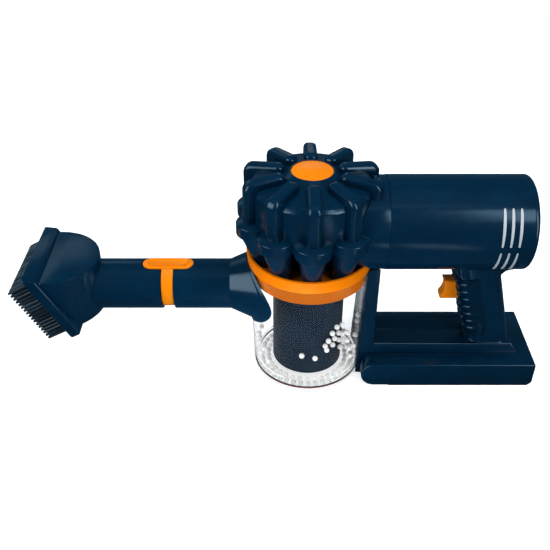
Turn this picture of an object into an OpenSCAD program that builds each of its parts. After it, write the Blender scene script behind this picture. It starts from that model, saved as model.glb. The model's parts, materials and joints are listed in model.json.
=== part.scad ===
// Toy handheld vacuum cleaner: a clear bead bin under a ribbed cyclone pod, with a motor
// housing and pistol grip on a battery base, and a pull-off brush tool on the inlet.
// Origin: centre of the bin's foot, on the floor. +X points to the handle, +Z up.

/* [Dust bin] */
// Outer radius of the clear bin at its top edge
bin_r_top = 45; // [43:0.5:48]
// Outer radius of the clear bin at its seam with the foot
bin_r_low = 41.5; // [40:0.5:43]
// Wall of the clear bin
bin_wall = 1.8; // [1.4:0.1:2.4]
// Height of the bin's top edge above the floor
bin_top = 98.5; // [94:0.5:106]
// Height of the seam between bin and foot
foot_h = 5.6; // [5:0.2:8]
// Thickness of the foot's floor
foot_floor = 2.4; // [1.6:0.2:3]
// Thickness of the dark seal in the seam
gasket_t = 0.8; // [0.6:0.1:1.2]
// Outer radius of the dark shroud inside the bin
shroud_r = 27; // [24:0.5:29]
// Height of the shroud's underside above the floor
shroud_low = 7.6; // [7:0.2:12]
// Diameter of the loose beads
bead_d = 4.3; // [3:0.1:4.6]

/* [Collar] */
// Height of the orange lip above the bin
lip_h = 9.9; // [8:0.1:12]
// How far the lip's foot stands out past the bin
lip_step = 0.6; // [0.4:0.1:1.5]
// How far the lip flares outward over its height
lip_flare = 1; // [0.4:0.1:1.6]
// Depth of the skirt inside the bin
skirt_h = 11.5; // [8:0.5:11.5]
// Thickness of the collar's web plate
web_t = 2.5; // [2:0.1:3]

/* [Pod] */
// How far the pod's wall stands inside the bin's top edge
pod_inset = 2; // [1:0.5:4]
// Height from the lip to the pod's shoulder
pod_h = 54.6; // [52:0.2:60]
// Height of the visible cones, from the lip to the cups
cone_h = 20.1; // [18:0.1:22]
// Number of cyclones round the pod
cyclones = 10; // [10:10]
// Distance of the cup centres inside the pod's wall
cup_inset = 1; // [0:0.2:1]
// Height of a cyclone cup
cup_h = 8.6; // [6:0.2:9]
// Radius of a cone where it meets its cup
cone_r_top = 10; // [9.5:0.1:11]
// Radius of a cone at the collar
cone_r_low = 7; // [6:0.1:7.4]
// Half width of the round ribs
rib_r = 4.4; // [3.8:0.1:5]
// Radius of the orange cap
cap_r = 14.7; // [12:0.1:15.5]

/* [Inlet and brush tool] */
// Outer radius of the inlet tube and the tool tube
tube_r = 18.8; // [18:0.1:20]
// Wall of the tool tube
tube_wall = 3.5; // [3:0.1:4]
// How far the tube's axis lies under the bin's top edge
inlet_drop = 24; // [22:0.5:27]
// Distance from the bin's wall to the flare's start
flare_len = 13.7; // [12:0.1:17]
// Length of the inlet from the flare to its shoulder at the latch
inlet_len = 41.5; // [38:0.1:46]
// Half angle of the flare
flare_angle = 23.6; // [20:0.2:26]
// Width of the latch band
band_w = 9.2; // [8:0.1:11]
// Length of the spigot past the band
spigot_len = 27; // [22:0.5:32]
// Distance from the latch band to the back of the hood
tool_len = 45.8; // [42:0.2:60]
// Radius of the hood's round back
hood_r = 34; // [31:0.5:36]
// Height of the hood
hood_h = 43; // [40:0.5:46]
// Lean of the brush face from upright
brush_lean = 28; // [20:0.5:34]
// Length of the brush flange along its slope
flange_len = 57.4; // [55:0.2:60]
// Width of the brush flange
flange_w = 72; // [71:0.5:78]
// Thickness of the brush flange
flange_t = 8.4; // [6:0.1:9]
// Length of the bristles
bristle_len = 18; // [10:0.5:20]
// Rows of bristles along the slope
bristle_rows = 17; // [14:1:18]
// Bristles in each row
bristle_cols = 24; // [20:1:26]

/* [Latch] */
// Length of the latch's oval plate
latch_len = 37.5; // [34:0.5:42]
// Width of the latch's oval plate
latch_w = 13; // [11:0.5:14]
// How far the latch travels down
latch_travel = 2; // [1:0.1:2]

/* [Motor housing] */
// Outer radius of the motor housing
housing_r = 34; // [32:0.5:35]
// Wall of the housing shells
housing_wall = 2.4; // [2:0.1:3]
// Length of the neck between the pod's wall and the housing
neck_len = 9.6; // [9:0.2:13]
// Length of the motor housing
housing_len = 100.6; // [96:0.2:105]
// Thickness of the rear cap's rim
rear_rim = 4; // [4:0.5:6]
// Spacing of the silver stripes
stripe_pitch = 5.7; // [5:0.1:6.5]
// Width of a silver stripe
stripe_w = 2; // [1.4:0.1:3]
// Radius of the fan
fan_r = 22; // [18:0.5:22]
// Number of fan blades
fan_blades = 8; // [5:1:11]

/* [Handle] */
// Depth of the post behind the bin's top edge
post_d = 5.6; // [4.6:0.1:7]
// Half width of the post
post_hw = 18.4; // [16:0.2:20]
// Lean of the grip from upright
grip_lean = 14.5; // [12:0.5:16]
// Depth of the grip, front to back
grip_depth = 31.9; // [31:0.1:35]
// Width of the grip
grip_w = 33; // [30:0.5:33.5]
// Corner radius of the grip
grip_round = 10; // [7:0.5:12]
// Distance from the base's square end to the middle of the grip's foot
grip_setback = 33.8; // [32:0.1:36]
// Wall of the handle shells
handle_wall = 2.4; // [2:0.1:2.8]
// Height of the trigger
trigger_h = 16.5; // [15:0.5:19]
// Width of the trigger
trigger_w = 10; // [9:0.5:13]
// How far the trigger stands out of the grip at its top
trigger_out = 11.2; // [8:0.2:12]
// How far the trigger is pulled
trigger_travel = 4; // [2:0.5:4]
// Number of finger ridges
pad_ridges = 7; // [4:1:8]

/* [Base] */
// Height of the base block
base_h = 20.7; // [20:0.1:22]
// Half width of the base block
base_hw = 33; // [31:0.5:36]
// How far the base's round end tucks in under the bin's top edge
base_tuck = 4.3; // [2:0.1:5]
// Length of the base block
base_len = 133.1; // [130:0.2:140]
// Wall of the base block
base_wall = 2.4; // [2:0.1:2.6]
// Height of the lower bar on the base
bar_h = 8.4; // [7.6:0.1:10]
// Half width of the lower bar at its foot
bar_hw = 18.9; // [18:0.1:21]
// Inward slope of the lower bar's sides
bar_draft = 2.1; // [1:0.1:2.4]

/* [Fits] */
// Gap between pieces that slide on each other
slide_gap = 0.3; // [0.2:0.05:0.4]
// Gap at fixed seams between curved faces
seam_gap = 0.15; // [0.1:0.05:0.3]
// Radial clearance of the turning shaft
run_gap = 0.05; // [0.02:0.01:0.09]

/* [Hidden] */
$fn = 96;
far_out = 400;

navy = [0.02, 0.13, 0.21];
orange = [0.95, 0.52, 0.1];
clear = [0.85, 0.9, 0.92, 0.35];
silver = [0.78, 0.8, 0.82];
steel = [0.62, 0.63, 0.65];
black = [0.06, 0.06, 0.07];

// Heights that follow from the driving sizes
lip_top = bin_top + lip_h;
web_top = bin_top + web_t;
cup_low = lip_top + cone_h;
shoulder_z = lip_top + pod_h;
housing_z = shoulder_z - housing_r;
inlet_z = bin_top - inlet_drop;
bar_top = base_h + bar_h;

// Bin and collar
foot_r = bin_r_low - 0.9;
foot_wall = bin_wall + 0.9;
lip_r_low = bin_r_top + lip_step;
lip_r_top = lip_r_low + lip_flare;
lip_wall = 2.4;
skirt_low = bin_top - skirt_h;
skirt_r = bin_radius(skirt_low) - bin_wall - 0.25;
skirt_wall = 2;
web_hole_r = 20;
inlet_hole_r = 11.6;
shroud_wall = 1.6;

// Pod
pod_r = bin_r_top - pod_inset;
cup_pitch = pod_r - cup_inset;
cup_r = cup_pitch * sin(180 / cyclones) - 0.08;
pod_wall = 2.4;
core_r = 24;
hub_r = cap_r + 3.5;
hub_top = shoulder_z + 7.6;
dome_top = shoulder_z + 3.4;
dome_edge = 3;
cap_seat = 2.4;
cap_crown = 1.6;
rib_axis_r = pod_r + 1.8;
rib_slope = 6;
rib_lift = 0.8;
rib_ball = rib_r + 0.08;
cone_lean = 15;
cup_slope_h = 1.8;
cup_slope_w = 5;
cup_lip = 0.6;
cyclone_step = 360 / cyclones;
screw_boss_r = 5;

// Inlet, latch and tool
flare_start = bin_r_top + flare_len;
inlet_reach = flare_start + inlet_len;
tube_bore = tube_r - tube_wall;
spigot_r = tube_bore - slide_gap;
spigot_bore = spigot_r - 2.4;
band_end = inlet_reach + band_w;
tool_end = band_end + tool_len;
latch_x = -(inlet_reach + band_w / 2);
latch_bore = spigot_r + slide_gap;
latch_rest = latch_bore + latch_travel;
latch_plate_t = 1.3;
latch_button_t = 1.5;
latch_ring_r = tube_r - 0.1 - latch_travel / 2;
pocket_gap = 0.6;
pocket_floor = spigot_r;
rim_w = 2;
rim_t = 1.6;
rim_drop = 5;

// Brush head: the hood's round back stands at tool_end, on a vertical axis at hood_x
hood_x = -(tool_end + hood_r);
hood_top = inlet_z + hood_h * 0.57;
hood_wall = 2.4;
flange_back = [hood_x + 7.6, 0, inlet_z + 4.8];
bristle_margin = 4.2;
flange_over = 2.3;
flange_bevel = 3.5;

// Housing and drive
neck_end = pod_r + neck_len;
housing_end = neck_end + housing_len;
cap_x = housing_end - rear_rim;
stripe_x = cap_x - 9.2;
stripe_t = 0.4;
motor_r = 10.2;
motor_len = 25;
mount_x = neck_end + 35.4;
mount_t = 3;
shaft_r = 1;
fan_x = neck_end + 17.4;
fan_t = 12;
fan_hub_r = 4;

// Base and handle along X
base_start = bin_r_top - base_tuck;
base_end = base_start + base_len;
post_x = bin_r_top + post_d;
grip_foot_x = base_end - grip_setback;

// Handle
post_foot = 3;
grip_foot = [grip_foot_x, 0, bar_top];
grip_len = (housing_z - housing_r + 15 - bar_top) / cos(grip_lean);
trigger_top = housing_z - housing_r - 15.2;
trigger_low = trigger_top - trigger_h;
trigger_back = grip_front(trigger_top) + 12;
spring_seat_x = trigger_back + 12;
spring_seat_t = 2;
spring_z = trigger_top - 4.3;
bar_end = grip_foot_x + grip_depth / 2 / cos(grip_lean) + 6.2;

// Screws that join the half shells, as [x, z]
boss_r = 3.6;
shank_r = 1.4;
head_r = 2.8;
head_t = 1.8;
head_y = 8;
shank_len = 18;
boss_out = housing_r - housing_wall - 5.6;
screw_spots = [
  [neck_end + 6, housing_z - boss_out],
  [neck_end + 6, housing_z + boss_out],
  [cap_x - 7.5, housing_z - boss_out],
  [cap_x - 7.5, housing_z + boss_out],
  [post_x + 13, base_h + bar_h / 2],
  [grip_foot_x - grip_depth + 4.9, base_h + bar_h / 2],
  [grip_foot_x - 4.9, bar_top + 19]
];

// Battery base
cover_recess = 0.2;
cover_t = 2;
cover_top = cover_recess + cover_t;
cell_r = 7.1;
nub_r = 2.7;
nub_len = 1.2;
cell_pitch = 2 * cell_r + 0.6;
cell_z = cover_top + cell_r + 0.2;
spring_room = 5;
plate_t = 0.5;
cavity_x0 = base_start + base_h + 4;
cavity_x1 = base_end - 6;
cell_x = cavity_x0 + 30.6;
cell_len = cavity_x1 - cell_x - 22.6;
pocket_x0 = cell_x - spring_room - plate_t;
pocket_x1 = cell_x + cell_len + nub_len + plate_t;
cavity_hw = base_hw - 4;
cover_lip = 3;
cover_gap = 0.3;
partition_t = 2;
cover_screw_x = cavity_x0 + 12;
base_screw_y = 10;
base_screw_len = 7.6;
base_screw_spots = [
  for (x = [cavity_x0 + 6, cavity_x0 + 18], y = [-base_screw_y, base_screw_y]) [x, y]
];

function bin_radius(z) = bin_r_low + (bin_r_top - bin_r_low) * (z - foot_h) / (bin_top - foot_h);
function grip_x(z) = grip_foot_x - (z - bar_top) * tan(grip_lean);
function grip_front(z) = grip_x(z) - grip_depth / 2 / cos(grip_lean);

// Points of a coil of wire along +Z, one ring of points for each step
function ring(centre, out, along, r, sides) =
  [for (k = [0:sides - 1]) centre + r * (cos(360 * k / sides) * out + sin(360 * k / sides) * along)];

module coil(turns, r, len, wire_r, sides = 6, steps = 14) {
  n = turns * steps;
  points = [
    for (i = [0:n])
      let (a = 360 * i / steps, out = [cos(a), sin(a), 0])
      each ring(r * out + [0, 0, wire_r + (len - 2 * wire_r) * i / n], out, [0, 0, 1], wire_r, sides)
  ];
  side_faces = [
    for (i = [0:n - 1], k = [0:sides - 1])
      let (a = i * sides + k, b = i * sides + (k + 1) % sides)
      each [[a, a + sides, b], [b, a + sides, b + sides]]
  ];
  start_cap = [for (k = [1:sides - 2]) [0, k, k + 1]];
  last = n * sides;
  end_cap = [for (k = [1:sides - 2]) [last, last + k + 1, last + k]];
  polyhedron(points, concat(side_faces, start_cap, end_cap));
}

// Round bars along X and along Y
module x_bar(r, x0, x1) translate([x0, 0, 0]) rotate([0, 90, 0]) cylinder(r = r, h = x1 - x0);
module y_bar(r, y0, y1) translate([0, y0, 0]) rotate([-90, 0, 0]) cylinder(r = r, h = y1 - y0);

// Everything on one side of the middle plane: side -1 is near, +1 is far
module half_space(side) {
  translate([-far_out, side > 0 ? seam_gap / 2 : -far_out - seam_gap / 2, -far_out])
    cube([2 * far_out, far_out, 2 * far_out]);
}

// Rectangle with round corners, made of exact outlines
module round_rect(w, d, r) {
  square([w, d - 2 * r], center = true);
  square([w - 2 * r, d], center = true);
  for (sx = [-1, 1], sy = [-1, 1])
    translate([sx * (w / 2 - r), sy * (d / 2 - r)]) circle(r);
}

// Oval with round ends, along X
module oval(len, w) {
  square([len - w, w], center = true);
  for (s = [-1, 1]) translate([s * (len - w) / 2, 0]) circle(w / 2);
}

// Outer shape of bin and foot, grown by a gap
module bin_envelope(gap) {
  rotate_extrude() polygon([
    [0, -1], [bin_r_low + gap, -1], [bin_r_low + gap, foot_h],
    [bin_r_top + gap, bin_top + 0.01], [0, bin_top + 0.01]
  ]);
}

// Outer shape of the collar's lip, grown by a gap
module lip_envelope(gap) {
  translate([0, 0, bin_top - gap]) cylinder(r = lip_r_top + gap, h = lip_h + 2 * gap);
}

// Space that the neck and the housing take outside the pod's wall
module housing_envelope(gap) {
  difference() {
    translate([0, 0, housing_z]) x_bar(housing_r + gap, 0, housing_end);
    translate([0, 0, -1]) cylinder(r = pod_r, h = far_out);
  }
}

// Frame on the brush face: +Z out along the bristles, +X up the slope
module on_brush_face() {
  translate(flange_back) rotate([0, -90 - brush_lean, 0]) children();
}

module brush_hood() {
  color(navy) difference() {
    intersection() {
      translate([hood_x, 0, hood_top - hood_h]) cylinder(r = hood_r, h = hood_h);
      on_brush_face() translate([-far_out / 2, -far_out / 2, -far_out]) cube(far_out);
    }
    intersection() {
      translate([hood_x, 0, hood_top - hood_h + hood_wall])
        cylinder(r = hood_r - hood_wall, h = hood_h - 2 * hood_wall);
      on_brush_face() translate([-far_out / 2, -far_out / 2, -far_out + 0.01]) cube(far_out);
    }
    translate([0, 0, inlet_z]) x_bar(tube_bore, hood_x, -tool_end + 1);
  }
}

module tool_tube() {
  color(navy) difference() {
    translate([0, 0, inlet_z]) x_bar(tube_r, hood_x + hood_r / 2, -band_end - slide_gap);
    translate([0, 0, inlet_z]) x_bar(tube_bore, hood_x, -inlet_reach);
    translate([hood_x, 0, 0]) cylinder(r = hood_r + seam_gap, h = far_out);
    latch_pocket(-1);
  }
}

// The flange's upper end slopes back from its front face
module brush_flange() {
  end = flange_len / 2;
  color(navy) on_brush_face() rotate([90, 0, 0]) linear_extrude(flange_w, center = true)
    polygon([[-end, 0], [end - flange_bevel, 0], [end + flange_over, flange_t], [-end, flange_t]]);
}

module bristle_field() {
  len_u = flange_len - 2 * bristle_margin;
  len_v = flange_w - 2 * bristle_margin;
  pitch_u = len_u / bristle_rows;
  pitch_v = len_v / bristle_cols;
  gap_u = pitch_u * 0.42;
  gap_v = pitch_v * 0.42;
  backing = 0.8;
  color(black) on_brush_face() translate([-len_u / 2, -len_v / 2, flange_t]) difference() {
    difference() {
      cube([len_u, len_v, bristle_len]);
      for (i = [1:bristle_rows - 1])
        translate([i * pitch_u - gap_u / 2, -1, backing]) cube([gap_u, len_v + 2, bristle_len]);
    }
    for (j = [1:bristle_cols - 1])
      translate([-1, j * pitch_v - gap_v / 2, backing]) cube([len_u + 2, gap_v, bristle_len]);
  }
}

// Oval pocket for the latch: side -1 is in the tool tube, +1 in the inlet
module latch_pocket(side) {
  translate([latch_x, 0, inlet_z + pocket_floor]) linear_extrude(tube_r)
    intersection() {
      oval(latch_len + 2 * pocket_gap, latch_w + 2 * pocket_gap);
      translate([side > 0 ? 0 : -latch_len, -latch_w]) square([latch_len, 2 * latch_w]);
    }
}

// Flare from the tube to the bin, grown by a rim
module flare(rim) {
  flare_run = flare_start - bin_r_low / 3;
  translate([-flare_start, 0, inlet_z]) rotate([0, 90, 0])
    cylinder(r1 = tube_r + rim, r2 = tube_r + rim + flare_run * tan(flare_angle), h = flare_run);
}

// Thin rim that lies on the bin round the flare's sides
module saddle_rim() {
  intersection() {
    flare(rim_w);
    bin_envelope(rim_t);
    translate([-far_out, -far_out / 2, inlet_z - tube_r - rim_drop]) cube(far_out);
  }
}

module inlet_duct() {
  color(navy) difference() {
    union() {
      translate([0, 0, inlet_z]) x_bar(tube_r, -inlet_reach, -flare_start + 0.01);
      translate([0, 0, inlet_z]) x_bar(spigot_r, -band_end - spigot_len, -inlet_reach + 1);
      flare(0);
      saddle_rim();
    }
    translate([0, 0, inlet_z]) x_bar(spigot_bore, -band_end - spigot_len - 1, -flare_start + 4);
    translate([0, 0, inlet_z]) x_bar(inlet_hole_r, -flare_start, 0);
    bin_envelope(seam_gap);
    translate([0, 0, bin_top - seam_gap]) cylinder(r = lip_r_top + seam_gap, h = far_out);
    latch_pocket(1);
    translate([0, 0, inlet_z]) seal_groove(0.1);
  }
}

// Ring seal near the spigot's end, and its groove
seal_r = 0.8;
seal_x = -(band_end + spigot_len - 5);
module seal_ring(gap) {
  translate([seal_x, 0, 0]) rotate([0, 90, 0]) rotate_extrude()
    translate([spigot_r - seal_r + 0.1, 0]) circle(seal_r + gap, $fn = 32);
}
module seal_groove(gap) {
  translate([seal_x - seal_r - gap, 0, 0]) rotate([0, 90, 0]) difference() {
    cylinder(r = spigot_r + 1, h = 2 * (seal_r + gap));
    translate([0, 0, -1]) cylinder(r = spigot_r - 2 * seal_r, h = 2 * seal_r + 3);
  }
}
module spigot_seal() color(black) translate([0, 0, inlet_z]) seal_ring(0);

module latch_button() {
  ring_w = band_w - 2 * slide_gap;
  color(orange) translate([latch_x, 0, inlet_z]) {
    difference() {
      union() {
        translate([0, 0, latch_travel / 2]) x_bar(latch_ring_r, -ring_w / 2, ring_w / 2);
        translate([0, 0, latch_rest]) linear_extrude(latch_plate_t) oval(latch_len, latch_w);
        translate([0, 0, latch_rest]) linear_extrude(latch_plate_t + latch_button_t)
          oval(latch_len - 8.5, latch_w - 4);
      }
      x_bar(latch_bore, -ring_w, ring_w);
      translate([0, 0, latch_travel]) x_bar(latch_bore, -ring_w, ring_w);
      translate([-ring_w, -latch_bore, 0]) cube([2 * ring_w, 2 * latch_bore, latch_travel]);
    }
  }
}

module latch_spring() {
  leaf_r = 8.3;
  leaf_t = 0.4;
  crown = latch_rest - 0.1;
  color(steel) translate([latch_x, 0, inlet_z + crown - leaf_r]) intersection() {
    difference() {
      x_bar(leaf_r, -3, 3);
      x_bar(leaf_r - leaf_t, -4, 4);
    }
    translate([-5, -leaf_r, leaf_r - 3.4]) cube([10, 2 * leaf_r, leaf_r]);
  }
}

module dust_bin() {
  color(clear) difference() {
    rotate_extrude() polygon([
      [bin_r_low - bin_wall, foot_h], [bin_r_low, foot_h],
      [bin_r_top, bin_top], [bin_r_top - bin_wall, bin_top]
    ]);
    translate([0, 0, inlet_z]) x_bar(inlet_hole_r, -bin_r_top - 1, 0);
  }
}

module bin_foot() {
  spigot_out = bin_r_low - bin_wall - 0.2;
  rim_in = foot_r - foot_wall;
  color(clear) rotate_extrude() polygon([
    [0, 0], [foot_r, 0], [foot_r, foot_h - gasket_t], [spigot_out, foot_h - gasket_t],
    [spigot_out, foot_h + 4], [rim_in, foot_h + 4], [rim_in, foot_floor], [0, foot_floor]
  ]);
}

module bin_gasket() {
  color([0.25, 0.08, 0.05]) translate([0, 0, foot_h - gasket_t]) difference() {
    cylinder(r = bin_r_low, h = gasket_t);
    translate([0, 0, -1]) cylinder(r = bin_r_low - bin_wall, h = gasket_t + 2);
  }
}

module filter_shroud() {
  flange_r = shroud_r + 4;
  color(navy) rotate_extrude() polygon([
    [0, shroud_low], [shroud_r, shroud_low], [shroud_r, bin_top - 3], [flange_r, bin_top - 3],
    [flange_r, bin_top], [shroud_r - shroud_wall, bin_top],
    [shroud_r - shroud_wall, shroud_low + shroud_wall], [0, shroud_low + shroud_wall]
  ]);
}

module bin_collar() {
  color(orange) rotate_extrude() polygon([
    [skirt_r - skirt_wall, skirt_low], [skirt_r, skirt_low], [skirt_r, bin_top],
    [lip_r_low, bin_top], [lip_r_top, lip_top], [lip_r_top - lip_wall, lip_top],
    [lip_r_low - lip_wall, web_top], [web_hole_r, web_top], [web_hole_r, bin_top],
    [skirt_r - skirt_wall, bin_top]
  ]);
}

// Beads lie in two rings on the foot's floor, and a few cling to the shroud and the wall
bead_r = bead_d / 2;
bead_floor = foot_floor + bead_r + 0.05;
bead_in = shroud_r + 0.4;
bead_out = foot_r - foot_wall - bead_r - 0.1;
bead_mid = bead_out - bead_d - 0.5;
cling_r = shroud_r + bead_r + 0.1;
cling_spots = [
  [-100, 27], [-80, 24.4], [-43.5, 48.3], [-52.8, 44.7], [-38.5, 41], [-59.4, 38.8], [-47.4, 38.2], [-36.2, 33.1],
  [-64.7, 34.8], [-51, 33], [-61.6, 30.1], [-29, 46], [-27, 36], [-22, 29], [-31, 24], [4, 26]
];
wall_spots = [
  [-172, 30], [-166, 24], [-160, 17], [-150, 26], [178, 20], [-143, 17], [-15, 52], [-11, 44],
  [-44, 49], [-43, 40.5], [-38, 30], [-33, 20], [-25, 26], [-20, 35], [165, 24]
];
module bead_at(r, a, z) rotate(a) translate([r, 0, z]) sphere(bead_r, $fn = 24);
module beads() {
  color("white") {
    for (i = [0:39]) bead_at(bead_out, i * 9, bead_floor);
    for (i = [0:33]) bead_at(bead_mid, i * 360 / 34 + 4, bead_floor);
    for (s = cling_spots) bead_at(cling_r, s[0], s[1]);
    for (s = wall_spots) bead_at(bin_radius(s[1] - bead_r) - bin_wall - bead_r - 0.1, s[0], s[1]);
  }
}

// Places round the pod; the housing's neck takes the place of the two cyclones beside +X
module round_pod(with_neck) {
  for (i = [0:cyclones - 1]) {
    a = (i + 0.5) * cyclone_step;
    if (with_neck || cos(a) < cos(cyclone_step)) rotate(a) children();
  }
}

module cyclone_cones() {
  drop = cup_low - web_top;
  color(navy) difference() {
    intersection() {
      round_pod(false) translate([cup_pitch - 0.4, 0, cup_low]) rotate([0, cone_lean, 0])
        translate([0, 0, -drop - 6])
          cylinder(h = drop + 12, r1 = cone_r_low - 1, r2 = cone_r_top + 1);
      translate([0, 0, web_top]) cylinder(r = far_out, h = drop);
    }
    housing_envelope(seam_gap);
  }
}

// One rounded rib: from the hub over the dome, round the shoulder and down to its cup
module rib() {
  foot_z = cup_low + cup_h / 2;
  corner_z = shoulder_z + rib_lift;
  run = (rib_axis_r - hub_r - rib_r - 0.4) / cos(rib_slope);
  translate([rib_axis_r, 0, foot_z]) cylinder(r = rib_r, h = corner_z - foot_z);
  translate([rib_axis_r, 0, corner_z]) {
    sphere(rib_ball);
    rotate([0, rib_slope - 90, 0]) {
      cylinder(r = rib_r, h = run);
      translate([0, 0, run]) sphere(rib_ball);
    }
  }
}

module cup() {
  translate([cup_pitch, 0, cup_low]) cylinder(r = cup_r, h = cup_h);
  translate([cup_pitch, 0, cup_low + cup_h]) cylinder(r1 = cup_r, r2 = cup_r - cup_slope_w, h = cup_slope_h);
}

// Outside of the dome, with the hub's seat for the cap
module dome_outside() {
  plate_z = cup_low + cup_lip;
  seat_z = hub_top - cap_seat;
  rotate_extrude() polygon([
    [0, web_top], [core_r, web_top], [core_r, plate_z], [pod_r, plate_z],
    [pod_r, shoulder_z - dome_edge], [pod_r - dome_edge, shoulder_z], [hub_r, dome_top],
    [hub_r, hub_top], [cap_r + 0.2, hub_top], [cap_r + 0.2, seat_z], [0, seat_z]
  ]);
}

// Hollow of the dome, with the screw's boss left standing in its middle
module dome_hollow() {
  inner_r = pod_r - pod_wall;
  core_in = core_r - pod_wall;
  floor_z = cup_low + cup_lip + pod_wall;
  boss_end = hub_top - cap_seat - 12;
  rotate_extrude() polygon([
    [screw_boss_r, dome_top - 2 * pod_wall], [screw_boss_r, boss_end], [0, boss_end],
    [0, web_top - 1], [core_in, web_top - 1], [core_in, floor_z], [inner_r, floor_z],
    [inner_r, shoulder_z - dome_edge - pod_wall], [inner_r - dome_edge, shoulder_z - pod_wall]
  ]);
}

module pod_dome() {
  color(navy) difference() {
    union() {
      dome_outside();
      round_pod(true) rib();
      round_pod(false) cup();
    }
    dome_hollow();
    cylinder(r = shank_r + run_gap, h = far_out);
    housing_envelope(seam_gap);
  }
}

module pod_cap() {
  crown_r = (cap_r * cap_r + cap_crown * cap_crown) / (2 * cap_crown);
  seat_z = hub_top - cap_seat;
  color(orange) difference() {
    intersection() {
      translate([0, 0, seat_z]) cylinder(r = cap_r, h = cap_seat + cap_crown + 1);
      translate([0, 0, hub_top - 0.4 + cap_crown - crown_r]) sphere(crown_r, $fn = 180);
    }
    translate([0, 0, seat_z - 1]) cylinder(r = head_r + 0.6, h = head_t + 1.2);
  }
}

// Round-headed screw with its head's underside at the origin, shank down
module screw(len) {
  cylinder(r = head_r, h = head_t, $fn = 32);
  translate([0, 0, -len]) cylinder(r = shank_r, h = len + 0.1, $fn = 32);
}

module pod_screw() {
  color(steel) translate([0, 0, hub_top - cap_seat]) screw(18);
}

module housing_shell(r, x0, x1) {
  translate([0, 0, housing_z]) difference() {
    x_bar(r, x0, x1);
    x_bar(r - housing_wall, x0 - 1, x1 + 1);
  }
}

module housing_neck() {
  color(navy) difference() {
    housing_shell(housing_r - 0.3, 0, neck_end);
    translate([0, 0, lip_top]) cylinder(r = pod_r + seam_gap, h = far_out);
    cylinder(r = lip_r_top + slide_gap, h = lip_top + slide_gap);
  }
}

// Bosses for the case screws: side -1 takes the thread, +1 the head
module screw_bosses(side, wall_y) {
  for (s = screw_spots) translate([s[0], 0, s[1]])
    y_bar(boss_r, side > 0 ? 0 : -wall_y, side > 0 ? wall_y : 0);
}
module screw_holes(side) {
  for (s = screw_spots) translate([s[0], 0, s[1]]) {
    if (side > 0) {
      y_bar(shank_r + 0.2, -1, housing_r);
      y_bar(head_r + 0.4, head_y, housing_r);
    } else {
      y_bar(shank_r + run_gap, -shank_len + head_y - 1, 1);
    }
  }
}

module housing_half(side) {
  wire_hole_r = 5;
  difference() {
    intersection() {
      half_space(side);
      union() {
        housing_shell(housing_r, neck_end, cap_x);
        intersection() {
          translate([0, 0, housing_z]) x_bar(housing_r - 0.5, neck_end, cap_x);
          screw_bosses(side, housing_r);
        }
      }
    }
    screw_holes(side);
    translate([grip_x(housing_z - housing_r), 0, housing_z - housing_r - 1])
      cylinder(r = wire_hole_r, h = 8);
  }
}
module motor_housing_near() color(navy) housing_half(-1);
module motor_housing_far() color(navy) housing_half(1);

module rear_cap() {
  edge = rear_rim - 1;
  inner_r = housing_r - housing_wall - 0.2;
  color(navy) translate([cap_x, 0, housing_z]) rotate([0, 90, 0]) union() {
    cylinder(r = housing_r, h = rear_rim - edge);
    translate([0, 0, rear_rim - edge]) cylinder(r = housing_r - edge, h = edge);
    translate([0, 0, rear_rim - edge]) rotate_extrude() translate([housing_r - edge, 0])
      intersection() {
        circle(edge, $fn = 48);
        square(edge);
      }
    translate([0, 0, -3]) difference() {
      cylinder(r = inner_r, h = 3.01);
      translate([0, 0, -1]) cylinder(r = inner_r - 2, h = 6);
    }
  }
}

// Silver stripes: three long arcs over three short ones, on both sides
stripe_arcs = [[0, 48], [-45, 38]];
module vent_stripes() {
  stripe_in = housing_r + 0.03;
  color(silver) translate([0, 0, housing_z]) for (side = [0, 1], i = [0:2], arc = stripe_arcs)
    mirror([0, side, 0]) translate([stripe_x - i * stripe_pitch, 0, 0]) rotate([0, 90, 0])
      rotate([0, 0, -90 - arc[0] - arc[1]]) rotate_extrude(angle = arc[1])
        translate([stripe_in, -stripe_w / 2]) square([stripe_t, stripe_w]);
}

module fan_motor() {
  x0 = mount_x + mount_t;
  color(steel) translate([0, 0, housing_z]) difference() {
    union() {
      x_bar(motor_r, x0, x0 + motor_len);
      x_bar(3, x0 - mount_t + 0.4, x0 + 1);
    }
    x_bar(shaft_r + run_gap, x0 - mount_t, x0 + motor_len + 1);
  }
}

motor_screw_pitch = 7;
mount_hole_at = 21;
mount_hole_r = 6;
module motor_mount() {
  color(black) translate([0, 0, housing_z]) difference() {
    x_bar(housing_r - housing_wall - 0.2, mount_x, mount_x + mount_t);
    x_bar(3.1, mount_x - 1, mount_x + mount_t + 1);
    for (s = [-1, 1]) translate([0, s * motor_screw_pitch, 0])
      x_bar(shank_r + 0.2, mount_x - 1, mount_x + mount_t + 1);
    for (a = [30:60:330]) rotate([a, 0, 0]) translate([0, 0, mount_hole_at])
      x_bar(mount_hole_r, mount_x - 1, mount_x + mount_t + 1);
  }
}

module motor_screws() {
  color(steel) translate([mount_x, 0, housing_z]) for (s = [-1, 1])
    translate([0, s * motor_screw_pitch, 0]) rotate([0, -90, 0]) screw(mount_t - 0.1);
}

module motor_shaft() {
  color(steel) translate([0, 0, housing_z]) x_bar(shaft_r, fan_x - 1, mount_x + mount_t + motor_len + 3);
}

module fan_impeller() {
  color(black) translate([0, 0, housing_z]) difference() {
    union() {
      x_bar(fan_hub_r, fan_x, fan_x + fan_t);
      x_bar(fan_r, fan_x + fan_t - 1.6, fan_x + fan_t);
      for (i = [0:fan_blades - 1]) rotate([360 / fan_blades * i, 0, 0])
        translate([fan_x + 1, -0.7, fan_hub_r - 1]) cube([fan_t - 1.5, 1.4, fan_r - fan_hub_r + 0.5]);
    }
    x_bar(shaft_r, fan_x - 1, fan_x + fan_t + 1);
  }
}

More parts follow.
